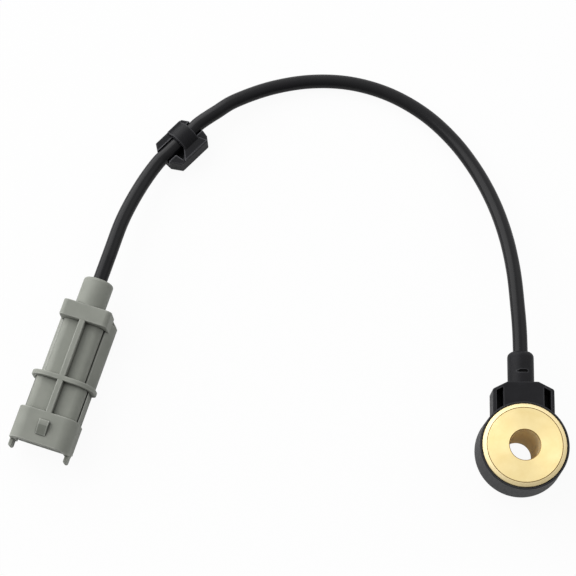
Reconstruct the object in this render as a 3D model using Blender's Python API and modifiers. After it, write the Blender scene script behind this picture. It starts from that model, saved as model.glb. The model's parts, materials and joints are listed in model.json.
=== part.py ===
"""Engine knock sensor: a ring head, its lead with a clip on it, and a plug-in connector.

The sensor lies on a flat surface. The head stands on the end of its sleeve, mounting face up, and
its neck points along +Y. The origin is on the surface, under the middle of the head's outline.
All sizes are in metres.
"""

import math

import bmesh
import bpy
from mathutils import Matrix, Vector

# Clearances
SEAT_GAP = 0.0003
FLANGE_FIT = 0.0002
CLIP_FIT = 0.00035

# Brass sleeve
BORE_DIAMETER = 0.0084
SLEEVE_WALL = 0.0020
FLANGE_OVERHANG = 0.0012
FLANGE_THICKNESS = 0.0026
FLANGE_CHAMFER_WIDTH = 0.00105
FLANGE_CHAMFER_DROP = 0.0005
BORE_CHAMFER = 0.0002
SLEEVE_STANDOUT = 0.0006

# Stack on the sleeve, from the flange down to the nut
INSULATING_SLEEVE_WALL = 0.0003
INSULATOR_THICKNESS = 0.0004
CONTACT_THICKNESS = 0.0003
PIEZO_THICKNESS = 0.0030
MASS_THICKNESS = 0.0038
SPRING_THICKNESS = 0.0005
SPRING_DISH = 0.0004
NUT_THICKNESS = 0.0026
INSULATOR_WIDTH = 0.0029
CONTACT_WIDTH = 0.0027
PIEZO_WIDTH = 0.0026
MASS_WIDTH = 0.00355
SPRING_WIDTH = 0.0025
NUT_WALL = 0.0019

# Joints of the contact tabs with the lead's cores
TAB_WIDTH = 0.0011
TAB_SPACING = 0.0034
TAB_BEND_REACH = 0.0009
TAB_SAG = 0.00045
TAB_ROOT = 0.0012
CRIMP_DIAMETER = 0.0027
CRIMP_WALL = 0.0003
CRIMP_LENGTH = 0.0022
CRIMP_GAP_TO_RESISTOR = 0.0003
RESISTOR_DIAMETER = 0.0012
RESISTOR_LENGTH = 0.0018
RESISTOR_LEAD_DIAMETER = 0.0004
RESISTOR_LEAD_LENGTH = 0.0014
CORE_DIAMETER = 0.0012
CONDUCTOR_DIAMETER = 0.0006
CONDUCTOR_LIFT = 0.0004
CORE_FAN_LENGTH = 0.0013

# Black head body
LIP_RECESS = 0.0006
LIP_WALL = 0.0005
BODY_SWELL = 0.00035
BODY_BACK_WALL = 0.00055
BODY_TAPER_HEIGHT = 0.0074
BODY_FLOOR = 0.0024
BODY_EDGE = 0.0003
SHOULDER_WIDTH = 0.0170
SHOULDER_NECK_WIDTH = 0.0084
SHOULDER_SIDE_LENGTH = 0.0031
SHOULDER_END_LENGTH = 0.0022
SHOULDER_HEIGHT = 0.0087
SHOULDER_DROP = 0.0002
SHOULDER_ROUNDING = 0.0004
SHOULDER_RIM = 0.0010
POCKET_WIDTH = 0.0019
POCKET_DEPTH = 0.0065
POCKET_END_MARGIN = 0.0004
NECK_DIAMETER = 0.0074
NECK_LENGTH = 0.0095
NECK_ROUNDING = 0.0016
NECK_DROP = 0.0065
NECK_NOTCH_WIDTH = 0.0034
NECK_NOTCH_LENGTH = 0.0008
NECK_NOTCH_DEPTH = 0.0010
NECK_NOTCH_FROM_END = 0.0056

# Lead
CABLE_DIAMETER = 0.0042
CORE_PASSAGE_DIAMETER = 0.0036
CABLE_POINT_SPACING = 2.0
CABLE_ROUTE = (
    (0.0000, 0.0203, 0.0135),
    (-0.00010, 0.0260, 0.0135),
    (-0.00045, 0.0325, 0.0133),
    (-0.00130, 0.0440, 0.0121),
    (-0.00310, 0.0556, 0.0095),
    (-0.00625, 0.0668, 0.0067),
    (-0.01105, 0.0775, 0.0044),
    (-0.01765, 0.0874, 0.0029),
    (-0.02615, 0.0957, 0.0023),
    (-0.03655, 0.1018, 0.0022),
    (-0.04805, 0.1051, 0.0022),
    (-0.05995, 0.1054, 0.0023),
    (-0.07165, 0.1028, 0.0031),
    (-0.08215, 0.0981, 0.0043),
    (-0.08783, 0.09405, 0.0049),
    (-0.09273, 0.09037, 0.0050),
    (-0.09548, 0.08745, 0.0050),
    (-0.10164, 0.08091, 0.0050),
    (-0.10439, 0.07799, 0.0050),
    (-0.10795, 0.0723, 0.0056),
    (-0.11135, 0.0653, 0.0068),
    (-0.11425, 0.0578, 0.0080),
    (-0.11686, 0.04869, 0.0088),
    (-0.11816, 0.04438, 0.0088),
    (-0.11946, 0.04007, 0.0088),
)

# Clip on the lead
CLIP_CENTRE = (-0.09856, 0.08418)
CLIP_HEADING = 46.7
CLIP_CABLE_HEIGHT = 0.0050
CLIP_LENGTH = 0.0147
CLIP_WIDTH = 0.0104
CLIP_SIDE_SHIFT = 0.0007
CLIP_NEAR_SIDE_LEAD = 0.0008
CLIP_CORNER_SWELL = 0.0003
CLIP_BASE_HEIGHT = 0.0058
CLIP_CORNER_LENGTH = 0.0021
CLIP_CORNER_WIDTH = 0.0031
CLIP_STRAP_WALL = 0.0012
CLIP_STRAP_WIDTH = 0.0053
CLIP_STRAP_START = -0.0006
CLIP_STRAP_ARC = math.radians(96.0)
CLIP_PLATE_THICKNESS = 0.0007
CLIP_PLATE_FLARE = 0.0025
CLIP_PLATE_INSET = 0.0001
CLIP_NOTCH_WIDTH = 0.0030
CLIP_NOTCH_DEPTH = 0.0032
CLIP_NOTCH_UNDERCUT = 0.0007

# Connector: lengths run from the back of the shroud towards the lead
CONNECTOR_PLACE = (-0.13137, 0.00061)
CONNECTOR_HEADING = -16.78
CONNECTOR_TOP = 0.0133
SHROUD_WIDTH = 0.0176
SHROUD_HEIGHT = 0.0120
SHROUD_LENGTH = 0.0094
SHROUD_WALL = 0.0017
SHROUD_ROUNDING = 0.0040
SHROUD_FOOT_ROUNDING = 0.0021
MOUTH_DEPTH = 0.0086
FLOOR_CUTBACK = 0.0010
FLOOR_CUTBACK_HEIGHT = 0.0034
EAR_LENGTH = 0.0022
EAR_HEIGHT = 0.0034
EAR_THICKNESS = 0.0012
EAR_DROP = 0.0010
FLUSH_STEP = 0.00005
NUB_WIDTH = 0.0029
NUB_START = 0.0026
NUB_LENGTH = 0.0043
NUB_HEIGHT = 0.0013
NUB_TOE_HEIGHT = 0.0003
LOWER_BARREL_LENGTH = 0.0096
LOWER_BARREL_WIDTH = 0.0158
LOWER_BARREL_DROP = 0.0020
LOWER_BARREL_HEIGHT = 0.0104
RIB_THICKNESS = 0.0014
RIB_WIDTH = 0.0188
RIB_ROUNDING = 0.0062
RIB_FOOT_ROUNDING = 0.0035
UPPER_BARREL_LENGTH = 0.01675
UPPER_BARREL_WIDTH = 0.0124
UPPER_BARREL_DROP = 0.0024
UPPER_BARREL_HEIGHT = 0.0094
BARREL_ROUNDING = 0.0026
SPINE_WIDTH = 0.0017
SPINE_HEIGHT = 0.0040
COLLAR_LENGTH = 0.00475
COLLAR_WIDTH = 0.0143
COLLAR_HEIGHT = 0.0092
COLLAR_ROUNDING = 0.0016
PLATE_WIDTH = 0.0162
PLATE_FRONT_WIDTH = 0.0156
PLATE_THICKNESS = 0.0031
PLATE_BACK = 0.0323
PLATE_CORNER = 0.0015
FLANK_TOP_WIDTH = 0.0129
FLANK_DROP = 0.0034
BOOT_DIAMETER = 0.0088
BOOT_LENGTH = 0.0084
BOOT_ROUNDING = 0.0009
BOOT_AXIS_DROP = 0.0045
DEAD_WALL = 0.0044
WIRE_ROOM_WIDTH = 0.0094
WIRE_ROOM_BELOW_TERMINALS = 0.0017
WIRE_ROOM_ABOVE_BOOT_AXIS = 0.0011
WIRE_ROOM_END = 0.0295

# Terminals in the connector
TERMINAL_PITCH = 0.0033
BLADE_WIDTH = 0.0015
BLADE_THICKNESS = 0.0008
BLADE_TIP_DEPTH = 0.0042
BLADE_TIP_TAPER = 0.0006
BARREL_DIAMETER = 0.0021
BARREL_WALL = 0.0003
BARREL_LENGTH = 0.0036
BARREL_HEAD = 0.0006
PLUG_CORE_DIAMETER = 0.0010
PLUG_CORE_RING = 0.0007
PLUG_CORE_FAN = 0.0110

# Mesh fineness
ROUND_SEGMENTS = 72
STACK_SEGMENTS = 48
SMALL_SEGMENTS = 16
ARC_STEPS = 6
SMOOTH_ANGLE = math.radians(35.0)
MERGE_DISTANCE = 0.000005
OVERRUN = 0.0010

# Heights in the head, from the surface up
floor_top = SLEEVE_STANDOUT + BODY_FLOOR
nut_bottom = floor_top + SEAT_GAP
spring_bottom = nut_bottom + NUT_THICKNESS + SEAT_GAP
spring_top = spring_bottom + SPRING_THICKNESS + SPRING_DISH
mass_bottom = spring_top + SEAT_GAP
mass_insulator_bottom = mass_bottom + MASS_THICKNESS + SEAT_GAP
ground_ring_bottom = mass_insulator_bottom + INSULATOR_THICKNESS + SEAT_GAP
piezo_bottom = ground_ring_bottom + CONTACT_THICKNESS + SEAT_GAP
signal_ring_bottom = piezo_bottom + PIEZO_THICKNESS + SEAT_GAP
flange_insulator_bottom = signal_ring_bottom + CONTACT_THICKNESS + SEAT_GAP
recess_floor = flange_insulator_bottom + INSULATOR_THICKNESS
flange_bottom = recess_floor + SEAT_GAP
head_height = flange_bottom + FLANGE_THICKNESS
lip_top = head_height - LIP_RECESS
neck_height = head_height - NECK_DROP

# Radii in the head
bore_radius = BORE_DIAMETER / 2
sleeve_radius = bore_radius + SLEEVE_WALL
clear_of_sleeve = sleeve_radius + SEAT_GAP
clear_of_insulating_sleeve = clear_of_sleeve + INSULATING_SLEEVE_WALL + SEAT_GAP
insulator_radius = clear_of_insulating_sleeve + INSULATOR_WIDTH
contact_radius = clear_of_insulating_sleeve + CONTACT_WIDTH
piezo_radius = clear_of_insulating_sleeve + PIEZO_WIDTH
mass_radius = clear_of_sleeve + MASS_WIDTH
spring_radius = clear_of_sleeve + SPRING_WIDTH
nut_corner_radius = (clear_of_sleeve + NUT_WALL) / math.cos(math.pi / 6)
stack_radius = max(
    insulator_radius, contact_radius, piezo_radius, mass_radius, spring_radius, nut_corner_radius
)
stack_room_radius = stack_radius + SEAT_GAP
flange_radius = stack_room_radius + FLANGE_OVERHANG
recess_radius = flange_radius + FLANGE_FIT
body_front_radius = recess_radius + LIP_WALL
body_wide_radius = body_front_radius + BODY_SWELL
lip_middle = (recess_radius + body_front_radius) / 2

# Reaches of the black body from the bore's axis, along the neck
shoulder_side_reach = body_wide_radius + SHOULDER_SIDE_LENGTH
shoulder_reach = shoulder_side_reach + SHOULDER_END_LENGTH
neck_reach = shoulder_reach + NECK_LENGTH

# The origin lies under the middle of the head's outline
bore_y = -(neck_reach - body_wide_radius) / 2
HEAD = Matrix.Translation((0.0, bore_y, 0.0))
CLIP = Matrix.Translation((*CLIP_CENTRE, 0.0)) @ Matrix.Rotation(math.radians(CLIP_HEADING - 90.0), 4, "Z")
CONNECTOR = Matrix.Translation((*CONNECTOR_PLACE, 0.0)) @ Matrix.Rotation(
    math.radians(CONNECTOR_HEADING), 4, "Z"
)
TURN_TO_Y = Matrix.Rotation(math.radians(-90.0), 4, "X")

for old_object in list(bpy.data.objects):
    bpy.data.objects.remove(old_object, do_unlink=True)

parts = bpy.data.collections.new("knock_sensor")
cutters = bpy.data.collections.new("cutters")
for collection in (parts, cutters):
    bpy.context.scene.collection.children.link(collection)


def make_finish(name, colour, roughness, metallic=0.0):
    """A Principled material with one colour."""
    material = bpy.data.materials.new(name)
    material.use_nodes = True
    shader = material.node_tree.nodes["Principled BSDF"]
    shader.inputs["Base Color"].default_value = (*colour, 1.0)
    shader.inputs["Roughness"].default_value = roughness
    shader.inputs["Metallic"].default_value = metallic
    return material


brass = make_finish("brass", (0.83, 0.62, 0.27), 0.32, 1.0)
steel = make_finish("steel", (0.55, 0.55, 0.54), 0.35, 1.0)
tinned_bronze = make_finish("tinned_bronze", (0.68, 0.62, 0.50), 0.30, 1.0)
ceramic = make_finish("piezo_ceramic", (0.60, 0.56, 0.46), 0.60)
film = make_finish("insulating_film", (0.72, 0.62, 0.36), 0.40)
resistor_lacquer = make_finish("resistor_lacquer", (0.45, 0.32, 0.18), 0.45)
black_nylon = make_finish("black_nylon", (0.022, 0.022, 0.023), 0.45)
jacket_black = make_finish("jacket_black", (0.020, 0.020, 0.021), 0.50)
grey_nylon = make_finish("grey_nylon", (0.27, 0.28, 0.26), 0.55)
white_core = make_finish("white_core", (0.75, 0.74, 0.70), 0.50)
black_core = make_finish("black_core", (0.03, 0.03, 0.03), 0.50)
bare_braid = make_finish("bare_braid", (0.60, 0.58, 0.55), 0.40, 1.0)


def add_object(name, data, material, placement):
    """A named object in the parts collection."""
    data.materials.append(material)
    obj = bpy.data.objects.new(name, data)
    obj.matrix_world = placement
    parts.objects.link(obj)
    return obj


def turned(name, profile, material, placement, segments=STACK_SEGMENTS, on_axis=False):
    """A profile of (radius, height) turned about Z. It runs down its outer side.

    A profile with on_axis set starts and ends on the axis; any other one closes on itself.
    """
    mesh = bpy.data.meshes.new(name)
    last = len(profile) - 1
    edges = [(i, i + 1) for i in range(last)]
    if not on_axis:
        edges.append((last, 0))
    mesh.from_pydata([(radius, 0.0, height) for radius, height in profile], edges, [])
    obj = add_object(name, mesh, material, placement)
    screw = obj.modifiers.new("Turn", "SCREW")
    screw.axis = "Z"
    screw.angle = math.tau
    screw.steps = segments
    screw.render_steps = segments
    screw.use_merge_vertices = True
    screw.merge_threshold = MERGE_DISTANCE
    return obj


def ring(name, outer, inner, bottom, top, material, placement, segments=STACK_SEGMENTS):
    """A plain washer or tube between two radii."""
    profile = ((outer, top), (outer, bottom), (inner, bottom), (inner, top))
    return turned(name, profile, material, placement, segments)


def rod(name, radius, bottom, top, material, placement, segments=STACK_SEGMENTS):
    """A plain solid cylinder."""
    profile = ((0.0, top), (radius, top), (radius, bottom), (0.0, bottom))
    return turned(name, profile, material, placement, segments, on_axis=True)


def box(name, low, high, material, placement):
    """A box between two opposite corners."""
    low, high = Vector(low), Vector(high)
    mesh = bpy.data.meshes.new(name)
    shape = bmesh.new()
    middle = Matrix.Translation((low + high) / 2) @ Matrix.Diagonal((*(high - low), 1.0))
    bmesh.ops.create_cube(shape, size=1.0, matrix=middle)
    shape.to_mesh(mesh)
    shape.free()
    return add_object(name, mesh, material, placement)


def prism(name, outline, low, high, material, placement, along="Z"):
    """A flat outline drawn out from low to high along an axis.

    Along Z the outline is (x, y), along Y it is (x, z) and along X it is (y, z).
    """
    curve = bpy.data.curves.new(name, "CURVE")
    curve.dimensions = "2D"
    curve.fill_mode = "BOTH"
    curve.extrude = (high - low) / 2
    spline = curve.splines.new("POLY")
    spline.points.add(len(outline) - 1)
    for point, (x, y) in zip(spline.points, outline):
        point.co = (x, y, 0.0, 1.0)
    spline.use_cyclic_u = True
    drawn = bpy.data.objects.new(name + "_outline", curve)
    cutters.objects.link(drawn)
    depsgraph = bpy.context.evaluated_depsgraph_get()
    mesh = bpy.data.meshes.new_from_object(drawn.evaluated_get(depsgraph))
    bpy.data.objects.remove(drawn, do_unlink=True)
    bpy.data.curves.remove(curve)
    mesh.name = name
    lift = Matrix.Translation((0.0, 0.0, (low + high) / 2))
    turn = {
        "Z": Matrix.Identity(4),
        "Y": Matrix(((1, 0, 0, 0), (0, 0, 1, 0), (0, 1, 0, 0), (0, 0, 0, 1))),
        "X": Matrix(((0, 0, 1, 0), (1, 0, 0, 0), (0, 1, 0, 0), (0, 0, 0, 1))),
    }[along]
    shape = bmesh.new()
    shape.from_mesh(mesh)
    bmesh.ops.remove_doubles(shape, verts=shape.verts, dist=MERGE_DISTANCE)
    bmesh.ops.transform(shape, matrix=turn @ lift, verts=shape.verts)
    bmesh.ops.recalc_face_normals(shape, faces=shape.faces)
    shape.to_mesh(mesh)
    shape.free()
    mesh.materials.clear()
    return add_object(name, mesh, material, placement)


def tube(name, points, radius, material, placement, widths=None, sides_step=2):
    """A round wire along points. The widths scale its radius at each point."""
    curve = bpy.data.curves.new(name, "CURVE")
    curve.dimensions = "3D"
    curve.bevel_depth = radius
    curve.bevel_resolution = sides_step
    curve.use_fill_caps = True
    spline = curve.splines.new("POLY")
    spline.points.add(len(points) - 1)
    for index, point in enumerate(points):
        spline.points[index].co = (*point, 1.0)
        spline.points[index].radius = widths[index] if widths else 1.0
    return add_object(name, curve, material, placement)


def combine(target, tool, operation):
    """Joins the tool to the target, or cuts it out, and keeps it with the cutters."""
    parts.objects.unlink(tool)
    cutters.objects.link(tool)
    tool.hide_render = True
    tool.display_type = "WIRE"
    modifier = target.modifiers.new(tool.name, "BOOLEAN")
    modifier.operation = operation
    modifier.solver = "EXACT"
    modifier.object = tool


def cut(target, *tools):
    """Cuts each tool out of the target."""
    for tool in tools:
        combine(target, tool, "DIFFERENCE")


def join(target, *tools):
    """Makes each tool one solid with the target."""
    for tool in tools:
        combine(target, tool, "UNION")


def rounded_rectangle(width, low, high, rounding, low_rounding=None, steps=ARC_STEPS):
    """An outline centred on the first axis, from low to high on the second, with arcs at its corners.

    The two low corners take low_rounding where it is given.
    """
    rounding = min(rounding, width / 2, (high - low) / 2)
    if low_rounding is None:
        low_rounding = rounding
    corners = ((1, high, 0.0, rounding), (-1, high, 90.0, rounding))
    corners += ((-1, low, 180.0, low_rounding), (1, low, 270.0, low_rounding))
    outline = []
    for side, edge, start, radius in corners:
        x = side * (width / 2 - radius)
        y = edge - radius if edge == high else edge + radius
        for step in range(steps + 1):
            angle = math.radians(start + 90.0 * step / steps)
            outline.append((x + radius * math.cos(angle), y + radius * math.sin(angle)))
    return outline


def strip_outline(path, thickness):
    """The two sides of a bent strip of sheet metal, with mitred bends."""
    sides = ([], [])
    for index, point in enumerate(path):
        before = Vector(path[max(index - 1, 0)])
        after = Vector(path[min(index + 1, len(path) - 1)])
        here = Vector(point)
        directions = [d.normalized() for d in (here - before, after - here) if d.length > 0.0]
        middle = sum(directions, Vector((0.0, 0.0))).normalized()
        normal = Vector((-middle.y, middle.x))
        stretch = 1.0 / max(normal.dot(Vector((-directions[0].y, directions[0].x))), 0.5)
        for side, sign in zip(sides, (1.0, -1.0)):
            side.append(here + normal * (sign * stretch * thickness / 2))
    return [tuple(p) for p in sides[0]] + [tuple(p) for p in reversed(sides[1])]


def smooth_points(route, spacing):
    """Evenly spaced points on a smooth curve through all points of a route."""
    knots = [Vector(p) for p in route]
    ends = [2 * knots[0] - knots[1], *knots, 2 * knots[-1] - knots[-2]]
    fine = []
    for p0, p1, p2, p3 in zip(ends, ends[1:], ends[2:], ends[3:]):
        for step in range(ROUND_SEGMENTS):
            t = step / ROUND_SEGMENTS
            fine.append(
                0.5
                * (
                    2 * p1
                    + (p2 - p0) * t
                    + (2 * p0 - 5 * p1 + 4 * p2 - p3) * t**2
                    + (3 * p1 - p0 - 3 * p2 + p3) * t**3
                )
            )
    fine.append(knots[-1])
    travelled = [0.0]
    for a, b in zip(fine, fine[1:]):
        travelled.append(travelled[-1] + (b - a).length)
    count = max(2, round(travelled[-1] / spacing))
    points, cursor = [], 0
    for index in range(count + 1):
        target = travelled[-1] * index / count
        while cursor < len(fine) - 2 and travelled[cursor + 1] < target:
            cursor += 1
        share = (target - travelled[cursor]) / (travelled[cursor + 1] - travelled[cursor])
        points.append(fine[cursor].lerp(fine[cursor + 1], share))
    return points


def build_sleeve():
    """The brass piece: flange with the mounting face, and the tube that the bolt passes."""
    face = flange_radius - FLANGE_CHAMFER_WIDTH
    chamfer_bottom = head_height - FLANGE_CHAMFER_DROP
    profile = (
        (bore_radius + BORE_CHAMFER, head_height),
        (face, head_height),
        (flange_radius, chamfer_bottom),
        (flange_radius, flange_bottom),
        (sleeve_radius, flange_bottom),
        (sleeve_radius, BORE_CHAMFER),
        (sleeve_radius - BORE_CHAMFER, 0.0),
        (bore_radius + BORE_CHAMFER, 0.0),
        (bore_radius, BORE_CHAMFER),
        (bore_radius, head_height - BORE_CHAMFER),
    )
    turned("base_sleeve", profile, brass, HEAD, ROUND_SEGMENTS)


def build_contact(name, bottom, side):
    """A contact ring with a tab that bends to the neck's height and ends in its crimp."""
    outer = contact_radius
    contact = ring(
        name, outer, clear_of_insulating_sleeve, bottom, bottom + CONTACT_THICKNESS, tinned_bronze, HEAD
    )
    ring_height = bottom + CONTACT_THICKNESS / 2
    bend_start = stack_room_radius + SEAT_GAP
    tab_height = neck_height - TAB_SAG
    path = (
        (outer - TAB_ROOT, ring_height),
        (bend_start, ring_height),
        (bend_start + TAB_BEND_REACH, tab_height),
        (crimp_start + CRIMP_LENGTH, tab_height),
    )
    x = side * TAB_SPACING / 2
    tab = prism(
        name + "_tab",
        strip_outline(path, CONTACT_THICKNESS),
        x - TAB_WIDTH / 2,
        x + TAB_WIDTH / 2,
        tinned_bronze,
        HEAD,
        along="X",
    )
    join(contact, tab)


def build_stack():
    """The rings that sit on the sleeve between the flange and the nut."""
    ring(
        "insulating_sleeve",
        clear_of_sleeve + INSULATING_SLEEVE_WALL,
        clear_of_sleeve,
        mass_insulator_bottom,
        recess_floor,
        film,
        HEAD,
    )
    inner = clear_of_insulating_sleeve
    for name, outer, bottom, thickness, material in (
        ("flange_insulator", insulator_radius, flange_insulator_bottom, INSULATOR_THICKNESS, film),
        ("piezo_ring", piezo_radius, piezo_bottom, PIEZO_THICKNESS, ceramic),
        ("mass_insulator", insulator_radius, mass_insulator_bottom, INSULATOR_THICKNESS, film),
    ):
        ring(name, outer, inner, bottom, bottom + thickness, material, HEAD)
    build_contact("signal_contact_ring", signal_ring_bottom, -1)
    build_contact("ground_contact_ring", ground_ring_bottom, 1)
    mass_top = mass_bottom + MASS_THICKNESS
    ring("seismic_mass", mass_radius, clear_of_sleeve, mass_bottom, mass_top, steel, HEAD)
    spring_profile = (
        (spring_radius, spring_top),
        (spring_radius, spring_top - SPRING_THICKNESS),
        (clear_of_sleeve, spring_bottom),
        (clear_of_sleeve, spring_bottom + SPRING_THICKNESS),
    )
    turned("disc_spring", spring_profile, steel, HEAD)
    corners = [math.radians(60.0 * i) for i in range(6)]
    hexagon = [(nut_corner_radius * math.cos(a), nut_corner_radius * math.sin(a)) for a in corners]
    nut_top = nut_bottom + NUT_THICKNESS
    nut = prism("retaining_nut", hexagon, nut_bottom, nut_top, steel, HEAD)
    cut(nut, rod("nut_thread_hole", clear_of_sleeve, 0.0, spring_top, steel, HEAD))


def build_joints():
    """The crimps, the resistor across the tabs and the two cores in the neck."""
    tab_top = neck_height - TAB_SAG + CONTACT_THICKNESS / 2
    resistor_height = tab_top + SEAT_GAP + RESISTOR_LEAD_DIAMETER / 2
    resistor_end = RESISTOR_LENGTH / 2
    lead_end = resistor_end + RESISTOR_LEAD_LENGTH
    body_radius = RESISTOR_DIAMETER / 2
    lead_radius = RESISTOR_LEAD_DIAMETER / 2
    resistor_profile = (
        (0.0, lead_end),
        (lead_radius, lead_end),
        (lead_radius, resistor_end),
        (body_radius, resistor_end),
        (body_radius, -resistor_end),
        (lead_radius, -resistor_end),
        (lead_radius, -lead_end),
        (0.0, -lead_end),
    )
    across = Matrix.Translation((0.0, resistor_reach, resistor_height)) @ Matrix.Rotation(
        math.radians(90.0), 4, "Y"
    )
    turned("shunt_resistor", resistor_profile, resistor_lacquer, HEAD @ across, SMALL_SEGMENTS, on_axis=True)

    crimp_radius = CRIMP_DIAMETER / 2
    crimp_end = crimp_start + CRIMP_LENGTH
    core_start = neck_reach - SEAT_GAP
    strip_at = crimp_end + SEAT_GAP
    fan_start = strip_at + CORE_FAN_LENGTH
    in_neck = CORE_DIAMETER / 2 + SEAT_GAP / 2
    bare = CONDUCTOR_DIAMETER / CORE_DIAMETER
    lift = neck_height + CONDUCTOR_LIFT
    for side, name, material in ((-1, "signal", white_core), (1, "ground", black_core)):
        tab_x = side * TAB_SPACING / 2
        barrel_place = HEAD @ Matrix.Translation((tab_x, 0.0, neck_height)) @ TURN_TO_Y
        ring(
            name + "_crimp",
            crimp_radius,
            crimp_radius - CRIMP_WALL,
            crimp_start,
            crimp_end,
            tinned_bronze,
            barrel_place,
            SMALL_SEGMENTS,
        )
        neck_x = side * in_neck
        middle_x = (neck_x + tab_x) / 2
        middle_height = (neck_height + lift) / 2
        middle_reach = (fan_start + strip_at) / 2
        points = (
            (neck_x, core_start, neck_height),
            (neck_x, fan_start, neck_height),
            (middle_x, middle_reach, middle_height),
            (tab_x, strip_at + SEAT_GAP, lift),
            (tab_x, strip_at, lift),
            (tab_x, strip_at - MERGE_DISTANCE * 4, lift),
            (tab_x, crimp_start + SEAT_GAP, lift),
        )
        widths = (1.0, 1.0, 1.0, 1.0, 1.0, bare, bare)
        tube(name + "_core_head_end", points, CORE_DIAMETER / 2, material, HEAD, widths)


def build_overmould():
    """The black body: ring wall, shoulder with two pockets, neck, and the rooms inside."""
    front = body_front_radius
    wide = body_wide_radius
    back = stack_room_radius + BODY_BACK_WALL
    taper_top = SLEEVE_STANDOUT + BODY_TAPER_HEIGHT
    profile = (
        (recess_radius, lip_top),
        (front - BODY_EDGE, lip_top),
        (front, lip_top - BODY_EDGE),
        (wide, taper_top),
        (back, SLEEVE_STANDOUT + BODY_EDGE),
        (back - BODY_EDGE, SLEEVE_STANDOUT),
        (clear_of_sleeve, SLEEVE_STANDOUT),
        (clear_of_sleeve, floor_top),
        (stack_room_radius, floor_top),
        (stack_room_radius, recess_floor),
        (recess_radius, recess_floor),
    )
    body = turned("head_overmould", profile, black_nylon, HEAD, ROUND_SEGMENTS)

    shoulder_top = lip_top - SHOULDER_DROP
    half, neck_half = SHOULDER_WIDTH / 2, SHOULDER_NECK_WIDTH / 2
    outline = (
        (-half, 0.0),
        (half, 0.0),
        (half, shoulder_side_reach),
        (neck_half, shoulder_reach),
        (-neck_half, shoulder_reach),
        (-half, shoulder_side_reach),
    )
    shoulder = prism("shoulder", outline, shoulder_top - SHOULDER_HEIGHT, shoulder_top, black_nylon, HEAD)
    rounding = shoulder.modifiers.new("Rounding", "BEVEL")
    rounding.width = SHOULDER_ROUNDING
    rounding.segments = 2
    rounding.limit_method = "ANGLE"
    room = rod("stack_room", lip_middle, 0.0, head_height, black_nylon, HEAD, ROUND_SEGMENTS)
    cut(shoulder, room)
    pocket_floor = shoulder_top - POCKET_DEPTH
    outer = half - SHOULDER_RIM
    inner = outer - POCKET_WIDTH
    slope = (shoulder_reach - shoulder_side_reach) / (half - neck_half)
    for side, name in ((-1, "left_pocket"), (1, "right_pocket")):
        pocket_outline = (
            (side * inner, 0.0),
            (side * outer, 0.0),
            (side * outer, shoulder_side_reach - POCKET_END_MARGIN),
            (side * inner, shoulder_side_reach - POCKET_END_MARGIN + POCKET_WIDTH * slope),
        )
        cut(
            shoulder,
            prism(name, pocket_outline, pocket_floor, shoulder_top + OVERRUN, black_nylon, HEAD),
        )
    join(body, shoulder)

    neck_radius = NECK_DIAMETER / 2
    neck_profile = [(0.0, neck_reach)]
    for step in range(ARC_STEPS + 1):
        angle = math.radians(90.0 - 90.0 * step / ARC_STEPS)
        neck_profile.append(
            (
                neck_radius - NECK_ROUNDING + NECK_ROUNDING * math.cos(angle),
                neck_reach - NECK_ROUNDING + NECK_ROUNDING * math.sin(angle),
            )
        )
    neck_root = stack_room_radius + OVERRUN
    neck_profile += [(neck_radius, neck_root), (0.0, neck_root)]
    neck_axis = HEAD @ Matrix.Translation((0.0, 0.0, neck_height)) @ TURN_TO_Y
    join(body, turned("neck", neck_profile, black_nylon, neck_axis, STACK_SEGMENTS, on_axis=True))

    room_half = TAB_SPACING / 2 + CRIMP_DIAMETER / 2 + SEAT_GAP
    room_end = crimp_start + CRIMP_LENGTH + SEAT_GAP + CORE_FAN_LENGTH
    room_bottom = min(ground_ring_bottom, neck_height - CRIMP_DIAMETER / 2) - SEAT_GAP
    joint_room = box(
        "joint_room",
        (-room_half, stack_room_radius - TAB_ROOT, room_bottom),
        (room_half, room_end, joint_room_top),
        black_nylon,
        HEAD,
    )
    passage_start = room_end - OVERRUN / 2
    passage_end = neck_reach + OVERRUN
    passage_radius = CORE_PASSAGE_DIAMETER / 2
    passage = rod(
        "core_passage", passage_radius, passage_start, passage_end, black_nylon, neck_axis, SMALL_SEGMENTS
    )
    notch_end = neck_reach - NECK_NOTCH_FROM_END
    notch = box(
        "neck_notch",
        (-NECK_NOTCH_WIDTH / 2, notch_end - NECK_NOTCH_LENGTH, neck_height + neck_radius - NECK_NOTCH_DEPTH),
        (NECK_NOTCH_WIDTH / 2, notch_end, neck_height + neck_radius + OVERRUN),
        black_nylon,
        HEAD,
    )
    cut(body, joint_room, notch, passage)


def build_cable():
    """The lead's jacket between the head's neck and the connector's boot."""
    points = smooth_points(CABLE_ROUTE, CABLE_POINT_SPACING * CABLE_DIAMETER)
    tube("cable", points, CABLE_DIAMETER / 2, jacket_black, Matrix.Identity(4), sides_step=3)


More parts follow.
